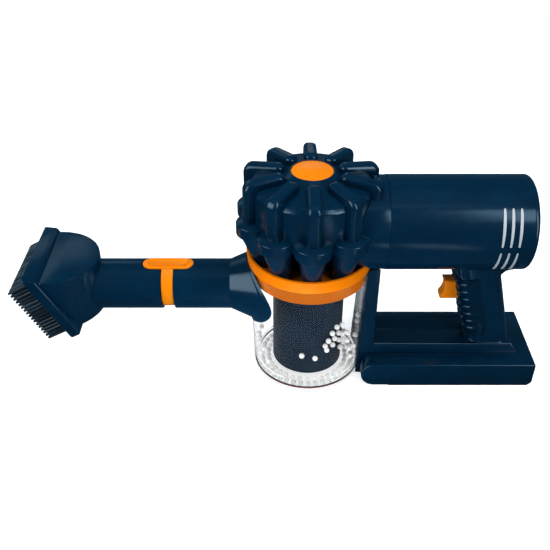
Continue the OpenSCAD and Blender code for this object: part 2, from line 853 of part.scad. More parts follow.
// Grip prism on its slanted axis, grown by a gap
module grip_prism(gap, foot = 12) {
  translate(grip_foot) rotate([0, -grip_lean, 0]) translate([0, 0, -foot])
    linear_extrude(grip_len + foot)
      round_rect(grip_depth + 2 * gap, grip_w + 2 * gap, grip_round + gap);
}

// Lower bar: sloping sides and a sloping rear end
module lower_bar(inset) {
  hw = bar_hw - inset;
  top = bar_h - inset;
  slope_end = bar_draft * 2.6;
  intersection() {
    translate([0, 0, base_h]) rotate([90, 0, 90]) linear_extrude(bar_end)
      polygon([[-hw, 0], [hw, 0], [hw - bar_draft, top], [-hw + bar_draft, top]]);
    translate([0, 0, base_h]) rotate([90, 0, 0]) linear_extrude(far_out, center = true)
      polygon([[inset, 0], [bar_end - inset, 0], [bar_end - slope_end - inset, top], [inset, top]]);
  }
}

module handle_outer() {
  fillet_r = 8;
  fillet_z = housing_z - housing_r;
  fillet_x = grip_x(fillet_z) + grip_depth / 2 / cos(grip_lean);
  difference() {
    union() {
      translate([0, -post_hw, 0]) cube([post_x, 2 * post_hw, housing_z - housing_r / 2]);
      lower_bar(0);
      intersection() {
        grip_prism(0);
        translate([0, -far_out / 2, bar_top - 0.01]) cube(far_out);
      }
      translate([fillet_x - 6, 0, fillet_z - fillet_r]) rotate([90, 0, 0])
        linear_extrude(grip_w - 9, center = true) difference() {
          square([fillet_r + 6, fillet_r + 6]);
          translate([fillet_r + 6, 0]) circle(fillet_r, $fn = 64);
        }
    }
    translate([0, 0, housing_z]) x_bar(housing_r + seam_gap, -1, housing_end + 20);
    bin_envelope(slide_gap);
    lip_envelope(slide_gap);
    base_block(0.01);
  }
}

module handle_cavity() {
  difference() {
    union() {
      translate([0, 0, -0.01]) lower_bar(handle_wall);
      difference() {
        grip_prism(-handle_wall);
        translate([-far_out, -far_out, -far_out]) cube([2 * far_out, 2 * far_out, far_out + base_h]);
      }
    }
    translate([-1, -post_hw - 1, -1]) cube([post_x + 1, 2 * post_hw + 2, far_out]);
  }
}

module trigger_slot() {
  gap = slide_gap;
  translate([grip_front(trigger_top) - 8, -trigger_w / 2 - gap, trigger_low - gap])
    cube([spring_seat_x - grip_front(trigger_top) + 8 - 0.5, trigger_w + 2 * gap, trigger_h + 2 * gap]);
}

module handle_half(side) {
  difference() {
    intersection() {
      half_space(side);
      union() {
        difference() {
          handle_outer();
          handle_cavity();
        }
        intersection() {
          handle_cavity();
          union() {
            translate([spring_seat_x, -far_out / 2, trigger_low])
              cube([spring_seat_t, far_out, trigger_h]);
            screw_bosses(side, housing_r);
            for (s = base_screw_spots) translate([s[0], s[1], base_h]) cylinder(r = boss_r, h = bar_h);
          }
        }
      }
    }
    trigger_slot();
    screw_holes(side);
    for (s = base_screw_spots) translate([s[0], s[1], base_h - 1])
      cylinder(r = shank_r + run_gap, h = base_screw_len - base_wall + 1.5);
  }
}
module handle_frame_near() color(navy) handle_half(-1);
module handle_frame_far() color(navy) handle_half(1);

// Ridged pad that wraps the front of the grip, open where the trigger passes
module grip_pad() {
  pad_t = 0.9;
  pad_depth = 14;
  pad_low = 10;
  ridge_r = 2.2;
  ridge_pitch = 7;
  ridge_first = 17;
  pad_len = (housing_z - housing_r - 4 - bar_top) / cos(grip_lean);
  color(black) difference() {
    union() {
      intersection() {
        grip_prism(pad_t);
        translate(grip_foot) rotate([0, -grip_lean, 0]) translate([-grip_depth / 2 - 4, 0, 0])
          rotate([90, 0, 0]) linear_extrude(far_out, center = true) {
            translate([0, pad_low + pad_depth / 2])
              square([pad_depth + 4, pad_len - pad_low - pad_depth / 2]);
            translate([0, pad_low]) square([4 + pad_depth / 2, pad_depth]);
            translate([4 + pad_depth / 2, pad_low + pad_depth / 2]) circle(pad_depth / 2, $fn = 64);
          }
      }
      translate(grip_foot) rotate([0, -grip_lean, 0]) for (i = [0:pad_ridges - 1])
        translate([-grip_depth / 2 - pad_t + ridge_r - 0.8, 0, ridge_first + i * ridge_pitch])
          y_bar(ridge_r, -grip_w / 2 + grip_round * 0.6, grip_w / 2 - grip_round * 0.6);
    }
    grip_prism(0.03);
    trigger_slot();
  }
}

// Finger dish in the front, over a lip at the foot; the front's corners are round
module trigger() {
  dish_r = 18;
  dish_in = 3.3;
  nose_r = 4.5;
  front = grip_front(trigger_top) - trigger_out;
  depth = trigger_back - front;
  color(orange) intersection() {
    rotate([90, 0, 0]) linear_extrude(trigger_w, center = true) difference() {
      translate([front, trigger_low]) square([depth, trigger_h]);
      translate([front + dish_in - dish_r, trigger_low + trigger_h * 0.66]) circle(dish_r);
    }
    translate([front, 0, trigger_low]) linear_extrude(trigger_h) {
      translate([nose_r, -trigger_w / 2]) square([depth - nose_r, trigger_w]);
      translate([0, nose_r - trigger_w / 2]) square([depth, trigger_w - 2 * nose_r]);
      for (side = [-1, 1]) translate([nose_r, side * (trigger_w / 2 - nose_r)]) circle(nose_r);
    }
  }
}

module trigger_spring() {
  color(steel) translate([trigger_back + 0.1, 0, spring_z]) rotate([0, 90, 0])
    coil(6, 3, spring_seat_x - trigger_back - 0.2, 0.35);
}

module trigger_switch() {
  body_w = 9;
  body_h = 7;
  room = trigger_travel + 0.8;
  color(black) translate([trigger_back + room, -body_w / 2, trigger_low + 1])
    cube([spring_seat_x - trigger_back - room, body_w, body_h]);
}

module case_screws() {
  color(steel) for (s = screw_spots) translate([s[0], head_y, s[1]]) rotate([-90, 0, 0]) screw(shank_len);
}

module base_block(gap) {
  end_r = base_h / 2 + gap;
  corner = 4.5;
  difference() {
    rotate([90, 0, 0]) linear_extrude(2 * (base_hw + gap), center = true) difference() {
      union() {
        translate([base_start + base_h / 2, base_h / 2]) circle(end_r);
        translate([base_start + base_h / 2, -gap])
          square([base_end + gap - base_start - base_h / 2, base_h + 2 * gap]);
      }
      translate([base_end + gap - corner, -gap]) difference() {
        translate([0, -1]) square([corner + 1, corner + 1]);
        translate([0, corner]) circle(corner, $fn = 64);
      }
    }
    bin_envelope(slide_gap + post_foot);
  }
}

module battery_case() {
  cavity_h = base_h - base_wall;
  color(navy) difference() {
    union() {
      difference() {
        base_block(0);
        translate([cavity_x0, -cavity_hw, -1]) cube([cavity_x1 - cavity_x0, 2 * cavity_hw, cavity_h + 1]);
      }
      for (x = [pocket_x0 - partition_t, pocket_x1])
        translate([x, -cavity_hw - 0.01, cover_top + 0.1])
          cube([partition_t, 2 * cavity_hw + 0.02, cavity_h - cover_top]);
      translate([cover_screw_x, 0, cover_top + 0.1]) cylinder(r = 4, h = cavity_h - cover_top);
    }
    translate([cavity_x0 - cover_lip, -cavity_hw - cover_lip, -1])
      cube([cavity_x1 - cavity_x0 + 2 * cover_lip, 2 * (cavity_hw + cover_lip), 1 + cover_top]);
    translate([cover_screw_x, 0, 0]) cylinder(r = shank_r + run_gap, h = 12);
    for (s = base_screw_spots) translate([s[0], s[1], cavity_h - 1])
      cylinder(r = shank_r + 0.2, h = base_wall + 2);
  }
}

module battery_cover() {
  x0 = cavity_x0 - cover_lip + cover_gap;
  x1 = cavity_x1 + cover_lip - cover_gap;
  hw = cavity_hw + cover_lip - cover_gap;
  color(navy) difference() {
    translate([x0, -hw, cover_top - cover_t]) cube([x1 - x0, 2 * hw, cover_t]);
    translate([cover_screw_x, 0, -1]) cylinder(r = shank_r + 0.2, h = 5);
    translate([cover_screw_x, 0, -1]) cylinder(r = head_r + 0.3, h = 1 + cover_top - 0.6);
  }
}

module cover_screw() {
  color(steel) translate([cover_screw_x, 0, cover_top - 0.6]) rotate([180, 0, 0]) difference() {
    union() {
      cylinder(r = head_r, h = 1.2, $fn = 32);
      translate([0, 0, -9]) cylinder(r = shank_r, h = 9.1, $fn = 32);
    }
    for (a = [0, 90]) rotate(a) translate([-1.6, -0.35, 0.7]) cube([3.2, 0.7, 1]);
  }
}

module cell(i) {
  color([0.5, 0.52, 0.55]) translate([cell_x, (i - 1) * cell_pitch, cell_z]) {
    x_bar(cell_r, 0, cell_len);
    x_bar(nub_r, cell_len - 0.01, cell_len + nub_len);
  }
}
module cell_1() cell(0);
module cell_2() cell(1);
module cell_3() cell(2);

module contact_springs() {
  color(steel) for (i = [0:2])
    translate([pocket_x0 + plate_t + 0.05, (i - 1) * cell_pitch, cell_z]) rotate([0, 90, 0])
      coil(3, 3.6, spring_room - 0.1, 0.4);
}

module contact_plates() {
  plate_w = 11;
  color(steel) for (i = [0:2], x = [pocket_x0, pocket_x1 - plate_t])
    translate([x, (i - 1) * cell_pitch - plate_w / 2, cell_z - plate_w / 2])
      cube([plate_t, plate_w, plate_w]);
}

module base_screws() {
  color(steel) for (s = base_screw_spots) translate([s[0], s[1], base_h - base_wall])
    rotate([180, 0, 0]) screw(base_screw_len);
}

brush_hood();
tool_tube();
brush_flange();
bristle_field();
inlet_duct();
spigot_seal();
latch_button();
latch_spring();
dust_bin();
bin_foot();
bin_gasket();
filter_shroud();
bin_collar();
beads();
cyclone_cones();
pod_dome();
pod_cap();
pod_screw();
housing_neck();
motor_housing_near();
motor_housing_far();
rear_cap();
vent_stripes();
fan_motor();
motor_mount();
motor_screws();
motor_shaft();
fan_impeller();
handle_frame_near();
handle_frame_far();
grip_pad();
trigger();
trigger_spring();
trigger_switch();
case_screws();
battery_case();
battery_cover();
cover_screw();
cell_1();
cell_2();
cell_3();
contact_springs();
contact_plates();
base_screws();
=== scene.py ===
# %% [markdown]
# # A toy handheld vacuum cleaner, dressed step by step
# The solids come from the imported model, in metres, and every one of them already sits in its
# place. This lesson gives each of them the finish and the small roundings that a moulded toy
# has, and builds anew what repeats: ribs, cups, bristles, beads, stripes and ridges.

# %% Load the frame
import json
import math
import bmesh
import bpy
from mathutils import Matrix, Vector


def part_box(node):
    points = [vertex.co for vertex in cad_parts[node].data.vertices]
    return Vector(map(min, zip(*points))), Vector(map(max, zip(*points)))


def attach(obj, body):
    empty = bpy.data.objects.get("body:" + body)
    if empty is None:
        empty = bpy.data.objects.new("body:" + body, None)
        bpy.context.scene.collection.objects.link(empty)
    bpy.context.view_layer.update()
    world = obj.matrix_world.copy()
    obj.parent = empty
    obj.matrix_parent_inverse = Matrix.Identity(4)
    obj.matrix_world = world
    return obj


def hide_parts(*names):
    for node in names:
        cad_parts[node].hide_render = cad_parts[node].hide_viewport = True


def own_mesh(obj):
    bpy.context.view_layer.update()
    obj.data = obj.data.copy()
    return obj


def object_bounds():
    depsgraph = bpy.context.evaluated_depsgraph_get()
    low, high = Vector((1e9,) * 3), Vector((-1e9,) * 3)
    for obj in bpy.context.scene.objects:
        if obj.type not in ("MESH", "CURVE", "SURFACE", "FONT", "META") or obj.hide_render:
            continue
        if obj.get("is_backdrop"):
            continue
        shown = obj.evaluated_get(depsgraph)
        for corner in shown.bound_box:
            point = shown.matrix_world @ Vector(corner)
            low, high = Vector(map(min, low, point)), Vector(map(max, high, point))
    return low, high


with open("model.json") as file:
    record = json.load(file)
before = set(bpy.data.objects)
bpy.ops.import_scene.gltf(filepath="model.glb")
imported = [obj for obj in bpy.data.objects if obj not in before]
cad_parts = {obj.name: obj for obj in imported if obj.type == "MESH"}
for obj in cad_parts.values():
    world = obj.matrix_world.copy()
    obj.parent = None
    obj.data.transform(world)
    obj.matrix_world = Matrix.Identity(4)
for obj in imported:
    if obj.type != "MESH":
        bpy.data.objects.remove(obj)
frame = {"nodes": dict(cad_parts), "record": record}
cad_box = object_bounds()
nodes = frame["nodes"]
BODY_OF = {n: b for b, ns in frame["record"]["behaviour"]["bodies"].items() for n in ns}
MM = 0.001

# %% [markdown]
# ## Camera, floor and light
# The photograph looks down on the toy from the side, about 36 degrees above the floor, from a
# little over half a metre. The dark glossy plastic shows long soft reflections from tall
# lamps at the left and the right, a faint streak along the housing, and a dull sheen on what
# lies flat, so the lights are large rectangles and the broad one from above isn't mirrored.
# The floor is a pale sheet that the toy doesn't mirror, because a white floor would wash out the
# dark walls. Two cards under it do what the white paper did: one shows in the pod's right-hand
# panels, the other lights the collar's lip from below. A pale backdrop closes the view at low
# angles.

# %% Camera
scene = bpy.context.scene
LOOK_DOWN = 36
lens = bpy.data.cameras.new("camera")
lens.lens = 50
lens.sensor_width = 36
lens.clip_start = 0.01
camera = bpy.data.objects.new("camera", lens)
camera.location = (-0.0255, -0.4636, 0.4188)
camera.rotation_euler = (math.radians(90 - LOOK_DOWN), 0, 0)
scene.collection.objects.link(camera)
scene.camera = camera
scene.view_settings.view_transform = "Standard"
print("camera at", tuple(round(c, 3) for c in camera.location))

# %% Lamps and sky
def soft_lamp(name, place, aim, size, power, tint=(1, 1, 1)):
    """A rectangular lamp at place that faces the point aim."""
    lamp = bpy.data.lights.new(name, "AREA")
    lamp.shape = "RECTANGLE"
    lamp.size, lamp.size_y = size
    lamp.energy = power
    lamp.color = tint
    obj = bpy.data.objects.new(name, lamp)
    turn = (Vector(aim) - Vector(place)).to_track_quat("-Z", "Y")
    obj.matrix_world = Matrix.Translation(place) @ turn.to_matrix().to_4x4()
    scene.collection.objects.link(obj)
    return obj

soft_lamp("lamp_left", (-0.82, -0.47, 0.45), (-0.03, 0, 0.08), (0.7, 0.8), 6.6)
soft_lamp("lamp_right", (0.72, -0.66, 0.42), (0.03, 0, 0.08), (0.3, 0.8), 4.5)
soft_lamp("lamp_back", (-0.6, 0.75, 0.62), (-0.15, 0, 0.1), (0.7, 0.3), 0.3, (0.7, 0.88, 1))
soft_lamp("lamp_dome", (0.03, 0.8, 0.47), (0, 0, 0.165), (0.2, 0.22), 0.08)
soft_lamp("lamp_streak", (0.1, -0.33, 0.93), (0.1, 0, 0.13), (0.5, 0.1), 0.07, (0.6, 0.85, 1))
soft_lamp("lamp_end", (0.43, -0.58, 0.72), (0.22, 0, 0.13), (0.15, 0.4), 0.8, (0.8, 0.92, 1))
lamp_top = soft_lamp("lamp_top", (0.0, -0.05, 1.1), (0, 0, 0.1), (1.2, 0.7), 11.5)
lamp_top.visible_glossy = False

sky = bpy.data.worlds.new("studio")
scene.world = sky
sky.use_nodes = True
air = sky.node_tree.nodes["Background"]
air.inputs["Color"].default_value = (0.25, 0.6, 0.9, 1)
air.inputs["Strength"].default_value = 0.14

# %% Floor
FLOOR_HALF, FLOOR_Z = 6, -0.0004

def shader_of(mat):
    """The shader of a node material."""
    return mat.node_tree.nodes["Principled BSDF"]

def paint(name):
    """A new node material with its tree and shader, for a finish to be built on."""
    mat = bpy.data.materials.new(name)
    mat.use_nodes = True
    return mat, mat.node_tree, shader_of(mat)

def lit_paper(name, tone, glow, tint=(1, 1, 1)):
    """Dull paper of a grey tone that also shines by itself."""
    mat, _, shader = paint(name)
    shader.inputs["Base Color"].default_value = (tone, tone, tone, 1)
    shader.inputs["Roughness"].default_value = 1
    shader.inputs["Specular IOR Level"].default_value = 0
    shader.inputs["Emission Color"].default_value = (*tint, 1)
    shader.inputs["Emission Strength"].default_value = glow
    return mat

floor_mesh = bpy.data.meshes.new("floor")
floor_mesh.from_pydata([(x * FLOOR_HALF, y * FLOOR_HALF, FLOOR_Z)
                        for x, y in [(-1, -1), (1, -1), (1, 1), (-1, 1)]], [], [(0, 1, 2, 3)])
floor_mesh.materials.append(lit_paper("floor_paper", 0.8, 0.7))
floor = bpy.data.objects.new("floor", floor_mesh)
scene.collection.objects.link(floor)
floor.visible_glossy = floor.visible_diffuse = floor.visible_shadow = False
floor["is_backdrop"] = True
print("floor laid")

# %% Backdrop
BACKDROP_R = 5.9
dome_mesh = bpy.data.meshes.new("backdrop")
bm = bmesh.new()
bmesh.ops.create_uvsphere(bm, u_segments=32, v_segments=16, radius=BACKDROP_R)
bm.to_mesh(dome_mesh)
bm.free()
dome_mesh.materials.append(lit_paper("backdrop_haze", 0, 0.78))
backdrop = bpy.data.objects.new("backdrop", dome_mesh)
scene.collection.objects.link(backdrop)
backdrop.visible_glossy = backdrop.visible_diffuse = backdrop.visible_shadow = False
backdrop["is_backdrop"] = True
print("backdrop set")

# %% Cards under the floor
CARD_Z = -0.001
CARD_TINT = (0.85, 0.93, 1)

def floor_card(name, outline, glow):
    """A lit card just under the floor; unless it is told otherwise, only reflections show it."""
    mesh = bpy.data.meshes.new(name)
    mesh.from_pydata([(x, y, CARD_Z) for x, y in outline], [], [range(len(outline))])
    mesh.materials.append(lit_paper(name, 0, glow, CARD_TINT))
    obj = bpy.data.objects.new(name, mesh)
    scene.collection.objects.link(obj)
    obj.visible_camera = obj.visible_transmission = False
    obj.visible_diffuse = obj.visible_shadow = False
    obj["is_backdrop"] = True
    return obj

floor_card("card_right", [(0.112, -0.36), (0.17, -0.36), (0.17, -0.2), (0.112, -0.235)], 1.0)
bounce = floor_card(
    "card_bounce", [(-0.07, -0.34), (0.03, -0.34), (0.03, -0.05), (-0.07, -0.05)], 8)
bounce.visible_diffuse, bounce.visible_glossy = True, False
print("cards laid")

# %% [markdown]
# ## Finishes
# Nearly all of the toy is injection-moulded plastic. Moulded plastic isn't one flat colour:
# the pigment clouds a little, the polish of the mould varies, and the skin has a fine orange
# peel. Each finish here is one shader with clouds in its colour and its roughness and a very
# fine bump, all on object coordinates, so that the pattern stays in the piece.

# %% Noise for a finish
CLOUD_LOW, CLOUD_HIGH = 0.3, 0.7

def cloud(tree, scale, detail=3):
    """Noise on object coordinates; scale is in lumps for each metre."""
    place = tree.nodes.new("ShaderNodeTexCoord")
    noise = tree.nodes.new("ShaderNodeTexNoise")
    noise.inputs["Scale"].default_value = scale
    noise.inputs["Detail"].default_value = detail
    tree.links.new(place.outputs["Object"], noise.inputs["Vector"])
    return noise.outputs["Fac"]

def span(tree, value, low, high):
    """The noise stretched to a range of plain numbers."""
    node = tree.nodes.new("ShaderNodeMapRange")
    node.inputs["From Min"].default_value = CLOUD_LOW
    node.inputs["From Max"].default_value = CLOUD_HIGH
    node.inputs["To Min"].default_value = low
    node.inputs["To Max"].default_value = high
    tree.links.new(value, node.inputs["Value"])
    return node.outputs["Result"]

def two_tone(tree, value, dark, light):
    """A colour between two, led by the noise."""
    ramp = tree.nodes.new("ShaderNodeValToRGB")
    first, last = ramp.color_ramp.elements
    first.position, first.color = CLOUD_LOW, (*dark, 1)
    last.position, last.color = CLOUD_HIGH, (*light, 1)
    tree.links.new(value, ramp.inputs["Fac"])
    return ramp.outputs["Color"]

def peel(tree, shader, scale, strength, depth):
    """The fine unevenness of a moulded skin."""
    bump = tree.nodes.new("ShaderNodeBump")
    bump.inputs["Strength"].default_value = strength
    bump.inputs["Distance"].default_value = depth
    tree.links.new(cloud(tree, scale, 2), bump.inputs["Height"])
    tree.links.new(bump.outputs["Normal"], shader.inputs["Normal"])

print("noise spans", CLOUD_LOW, "to", CLOUD_HIGH)

# %% Moulded plastics
PIGMENT_LUMPS, POLISH_LUMPS = 45, 160
PEEL_DEPTH, COAT_ROUGHNESS = 0.0002, 0.06

def plastic(name, dark, light, rough, coat=0.0, grain=900, bump=0.06, specular=0.5,
            sheen=(1, 1, 1)):
    """Moulded plastic: clouded pigment, uneven polish and a fine peel; sheen tints its shine."""
    mat, tree, shader = paint(name)
    pigment = two_tone(tree, cloud(tree, PIGMENT_LUMPS), dark, light)
    polish = span(tree, cloud(tree, POLISH_LUMPS), *rough)
    tree.links.new(pigment, shader.inputs["Base Color"])
    tree.links.new(polish, shader.inputs["Roughness"])
    shader.inputs["Specular IOR Level"].default_value = specular
    shader.inputs["Specular Tint"].default_value = (*sheen, 1)
    shader.inputs["Coat Weight"].default_value = coat
    shader.inputs["Coat Roughness"].default_value = COAT_ROUGHNESS
    peel(tree, shader, grain, bump, PEEL_DEPTH)
    return mat

navy = plastic("navy_plastic", (0.0002, 0.0105, 0.027), (0.0004, 0.0145, 0.036), (0.16, 0.22),
               bump=0.02, specular=0.55, sheen=(0.55, 0.8, 1))
satin_navy = plastic("satin_navy_plastic", (0.004, 0.011, 0.022), (0.007, 0.016, 0.03),
                     (0.42, 0.5), bump=0.01, specular=0.03)
orange = plastic("orange_plastic", (0.73, 0.18, 0.001), (0.79, 0.21, 0.002), (0.22, 0.26),
                 bump=0.02, specular=0.2)
dull_orange = plastic("collar_orange_plastic", (0.76, 0.165, 0.001), (0.82, 0.195, 0.002),
                      (0.3, 0.36), bump=0.02, specular=0.03)
gloss_black = plastic("glossy_black_pad", (0.0003, 0.008, 0.02), (0.0004, 0.011, 0.027),
                      (0.14, 0.2), coat=0.1, bump=0.02, sheen=(0.4, 0.75, 1))
works_black = plastic("black_works_plastic", (0.012, 0.012, 0.013), (0.02, 0.02, 0.022),
                      (0.4, 0.55))
nylon = plastic("bristle_nylon", (0.006, 0.013, 0.021), (0.016, 0.027, 0.038), (0.3, 0.42),
                grain=2500, specular=0.22, sheen=(0.6, 0.85, 1))
seal = plastic("seal_rubber", (0.16, 0.06, 0.04), (0.22, 0.085, 0.055), (0.5, 0.65))
print("plastics:", [m.name for m in bpy.data.materials])

# %% [markdown]
# The collar's skirt sits inside the clear bin and looks deeper in tone than the lip above it.
# Two materials would need a seam in the mesh, so one finish gets painted shade: a step down in
# its colour at the bin's top edge. The foam beads get a faint glow, painted light that stands for
# the light they scatter inside.

# %% Painted shade on the skirt and glow on the foam
BIN_TOP, TONE_STEP, SKIRT_PAINTED_SHADE = 0.0985, 0.0004, 0.6

def shade_below(mat, height, tone):
    """Painted shade: a deeper tone of a finish below a height."""
    tree, shader = mat.node_tree, shader_of(mat)
    place = tree.nodes.new("ShaderNodeTexCoord")
    split = tree.nodes.new("ShaderNodeSeparateXYZ")
    level = tree.nodes.new("ShaderNodeMapRange")
    blend = tree.nodes.new("ShaderNodeVectorMath")
    blend.operation = "SCALE"
    level.inputs["From Min"].default_value = height - TONE_STEP
    level.inputs["From Max"].default_value = height + TONE_STEP
    level.inputs["To Min"].default_value = tone
    tree.links.new(place.outputs["Object"], split.inputs["Vector"])
    tree.links.new(split.outputs["Z"], level.inputs["Value"])
    tree.links.new(shader.inputs["Base Color"].links[0].from_socket, blend.inputs[0])
    tree.links.new(level.outputs["Result"], blend.inputs["Scale"])
    tree.links.new(blend.outputs["Vector"], shader.inputs["Base Color"])

# Painted shade: the skirt's colour is darkened below the bin's top edge.
shade_below(dull_orange, BIN_TOP, SKIRT_PAINTED_SHADE)
foam = plastic("bead_foam", (0.7, 0.7, 0.69), (0.8, 0.8, 0.79), (0.55, 0.75), grain=2200, bump=0.3)
# Painted light: a faint glow brightens the foam beads, standing for the light they scatter inside.
shader_of(foam).inputs["Emission Color"].default_value = (1, 1, 0.98, 1)
shader_of(foam).inputs["Emission Strength"].default_value = 0.09
print("skirt is deeper below", BIN_TOP)

# %% [markdown]
# The bin is clear polished plastic with a real wall, so it bends the light as it passes. Its
# polish is a little cloudy, which keeps the far wall from looking like empty air. Both clear
# finishes bend the light less than real plastic, because a thick clear wall would show mostly
# dark on so bright a floor; the foot bends it a little more, so that its rim can be seen.

# %% Clear plastic
CLEAR_DARK, CLEAR_LIGHT = (0.95, 0.96, 0.965), (0.985, 0.99, 0.99)
TINT_LUMPS, HAZE_LUMPS, WAVES = 30, 70, 25

def clear_plastic(name, bend):
    """Polished clear plastic with a faint cloud in its polish; bend is its index."""
    mat, tree, shader = paint(name)
    shader.inputs["Transmission Weight"].default_value = 1
    shader.inputs["IOR"].default_value = bend
    tint = two_tone(tree, cloud(tree, TINT_LUMPS), CLEAR_DARK, CLEAR_LIGHT)
    haze = span(tree, cloud(tree, HAZE_LUMPS), 0.01, 0.04)
    tree.links.new(tint, shader.inputs["Base Color"])
    tree.links.new(haze, shader.inputs["Roughness"])
    peel(tree, shader, WAVES, strength=0.02, depth=0.0004)
    return mat

clear = clear_plastic("clear_plastic", 1.13)
clear_foot = clear_plastic("clear_foot_plastic", 1.18)
print("clear finishes:", clear.name, clear_foot.name)

# %% [markdown]
# Screws, springs and contacts are plated steel, and the cells have a lacquered wrap. They are
# hidden, but the finish shows where a piece is taken out. The stripes are silver lacquer, so
# they are a pale plastic rather than a metal, which would mirror the dark surroundings.

# %% Metals and cells
PLATING_LUMPS = 220

def metal(name, dark, light, rough, grain=600):
    """Plated or lacquered metal with a drawn, slightly uneven polish."""
    mat, tree, shader = paint(name)
    plating = two_tone(tree, cloud(tree, PLATING_LUMPS), dark, light)
    polish = span(tree, cloud(tree, grain), *rough)
    tree.links.new(plating, shader.inputs["Base Color"])
    tree.links.new(polish, shader.inputs["Roughness"])
    shader.inputs["Metallic"].default_value = 1
    peel(tree, shader, grain, strength=0.05, depth=0.0001)
    return mat

steel = metal("plated_steel", (0.42, 0.43, 0.45), (0.6, 0.61, 0.63), (0.22, 0.36))
cell_can = metal("cell_wrap", (0.3, 0.31, 0.33), (0.42, 0.43, 0.46), (0.3, 0.42))
silver = plastic("silver_lacquer", (0.4, 0.42, 0.44), (0.5, 0.52, 0.54), (0.3, 0.4),
                 bump=0.02)
print("all finishes:", len(bpy.data.materials))

# %% [markdown]
# Some solids are right as they are: the bin, its foot and shroud, the cones, the housing's half
# shells and most of what is hidden. They only change their finish, and their meshes are left
# alone.

# %% Finishes for the solids that stay
FINISH = {
    clear: ["dust_bin"],
    clear_foot: ["bin_foot"],
    satin_navy: ["filter_shroud", "battery_cover"],
    navy: ["cyclone_cones", "motor_housing_near", "motor_housing_far"],
    seal: ["bin_gasket", "spigot_seal"],
    works_black: ["motor_mount", "fan_impeller", "trigger_switch"],
    cell_can: ["cell_1", "cell_2", "cell_3"],
    steel: ["pod_screw", "motor_screws", "motor_shaft", "case_screws",
            "cover_screw", "contact_springs", "contact_plates", "base_screws", "fan_motor"],
}
for finish, names in FINISH.items():
    for n in names:
        nodes[n].data.materials.clear()
        nodes[n].data.materials.append(finish)
print("solids kept as they are:", sum(len(v) for v in FINISH.values()))

# %% [markdown]
# ## Moulded edges
# No moulded edge is knife-sharp: each one carries a thin line of light. The solids are exact,
# so a copy of each shell is merged, its flat areas are joined, and a bevel rounds every edge
# that turns sharply. A bevel in the solids would do the same, but takes many more faces. The
# tube and the inlet meet in thin slots, where a bevel would tear. They keep their edges and
# get the normals of true tubes instead, so that no facet shows in a long reflection.

# %% Helpers for pieces
MERGE = 2e-6

def place_piece(obj, body, slot, *stands_for):
    """Lets a finished piece ride on its body and stand for its solids."""
    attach(obj, body)
    if stands_for:
        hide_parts(*stands_for)
    return obj

def bake(obj):
    """Turns an object's modifiers into plain mesh."""
    graph = bpy.context.evaluated_depsgraph_get()
    made = bpy.data.meshes.new_from_object(obj.evaluated_get(graph))
    obj.modifiers.clear()
    obj.data = made
    return obj

def round_edges(obj, width, turn, crisp, steps):
    """Rounds the edges that turn by more than an angle, and smooths all but the crisp ones."""
    if width:
        bevel = obj.modifiers.new("edge", "BEVEL")
        bevel.width = width * MM
        bevel.segments = steps
        bevel.limit_method = "ANGLE"
        bevel.angle_limit = math.radians(turn)
        bevel.use_clamp_overlap = False
        bevel.miter_outer = "MITER_ARC"
        bake(obj)
    obj.data.shade_smooth()
    obj.data.set_sharp_from_angle(angle=math.radians(crisp))

print("vertices closer than", MERGE, "m are merged")

# %% A softened copy of a solid
FLAT = math.radians(0.6)
FACES_UP = 0.99
RIM_W = 0.0013

def soften(node, slot, finish, width, turn=30, crisp=32, steps=3, sink=0):
    """A copy of a solid with its edges rounded by width millimetres, or left as they are at 0.

    Edges sharper than crisp degrees stay unsmoothed. With sink, the top face gets a raised rim
    round a panel that lies so many millimetres lower.
    """
    mesh = bpy.data.meshes.new(node + "_shell")
    bm = bmesh.new()
    bm.from_mesh(nodes[node].data)
    bmesh.ops.remove_doubles(bm, verts=bm.verts, dist=MERGE)
    if width:
        bmesh.ops.dissolve_limit(bm, angle_limit=FLAT, verts=bm.verts, edges=bm.edges)
    if sink:
        upward = [f for f in bm.faces if f.normal.z > FACES_UP]
        top = max(upward, key=lambda f: f.calc_center_median().z)
        bmesh.ops.inset_region(bm, faces=[top], thickness=RIM_W)
        for v in top.verts:
            v.co.z -= sink * MM
    bm.to_mesh(mesh)
    bm.free()
    mesh.materials.clear()
    mesh.materials.append(finish)
    obj = bpy.data.objects.new(node + "_shell", mesh)
    scene.collection.objects.link(obj)
    round_edges(obj, width, turn, crisp, steps)
    return place_piece(obj, BODY_OF[node], slot, node)

print("rim on the latch:", RIM_W)

# %% Navy shells
INLET_Z = 0.0745
STEEP, ALIKE = 0.6, 0.985

def round_normals(obj, height):
    """Gives the faces round the line Y = 0, Z = height the normals of a true tube or cone.

    Faces that lean steeply along X, or whose own normal is far from the true one, are left alone.
    """
    mesh = obj.data
    normals = [n.vector.copy() for n in mesh.corner_normals]
    for face in mesh.polygons:
        lean = face.normal.x
        for k in face.loop_indices:
            place = mesh.vertices[mesh.loops[k].vertex_index].co
            out = Vector((0, place.y, place.z - height))
            true = out.normalized() * math.sqrt(max(0, 1 - lean * lean)) + Vector((lean, 0, 0))
            if out.dot(face.normal) < 0:
                true = Vector((lean, -true.y, -true.z))
            if abs(lean) < STEEP and true.dot(face.normal) > ALIKE:
                normals[k] = true
    mesh.normals_split_custom_set(normals)

for node, width, turn, crisp in [
        ("brush_flange", 1.5, 30, 32), ("brush_hood", 0.9, 50, 20), ("tool_tube", 0, 30, 20),
        ("inlet_duct", 0, 50, 18), ("housing_neck", 0.4, 30, 32), ("rear_cap", 0.5, 30, 32),
        ("handle_frame_near", 0.8, 30, 32), ("handle_frame_far", 0.8, 30, 32),
        ("battery_case", 1.0, 30, 32)]:
    shell = soften(node, "navy_plastic", navy, width, turn, crisp)
    if node in ("tool_tube", "inlet_duct"):
        round_normals(shell, INLET_Z)
    print(shell.name, len(shell.data.polygons))

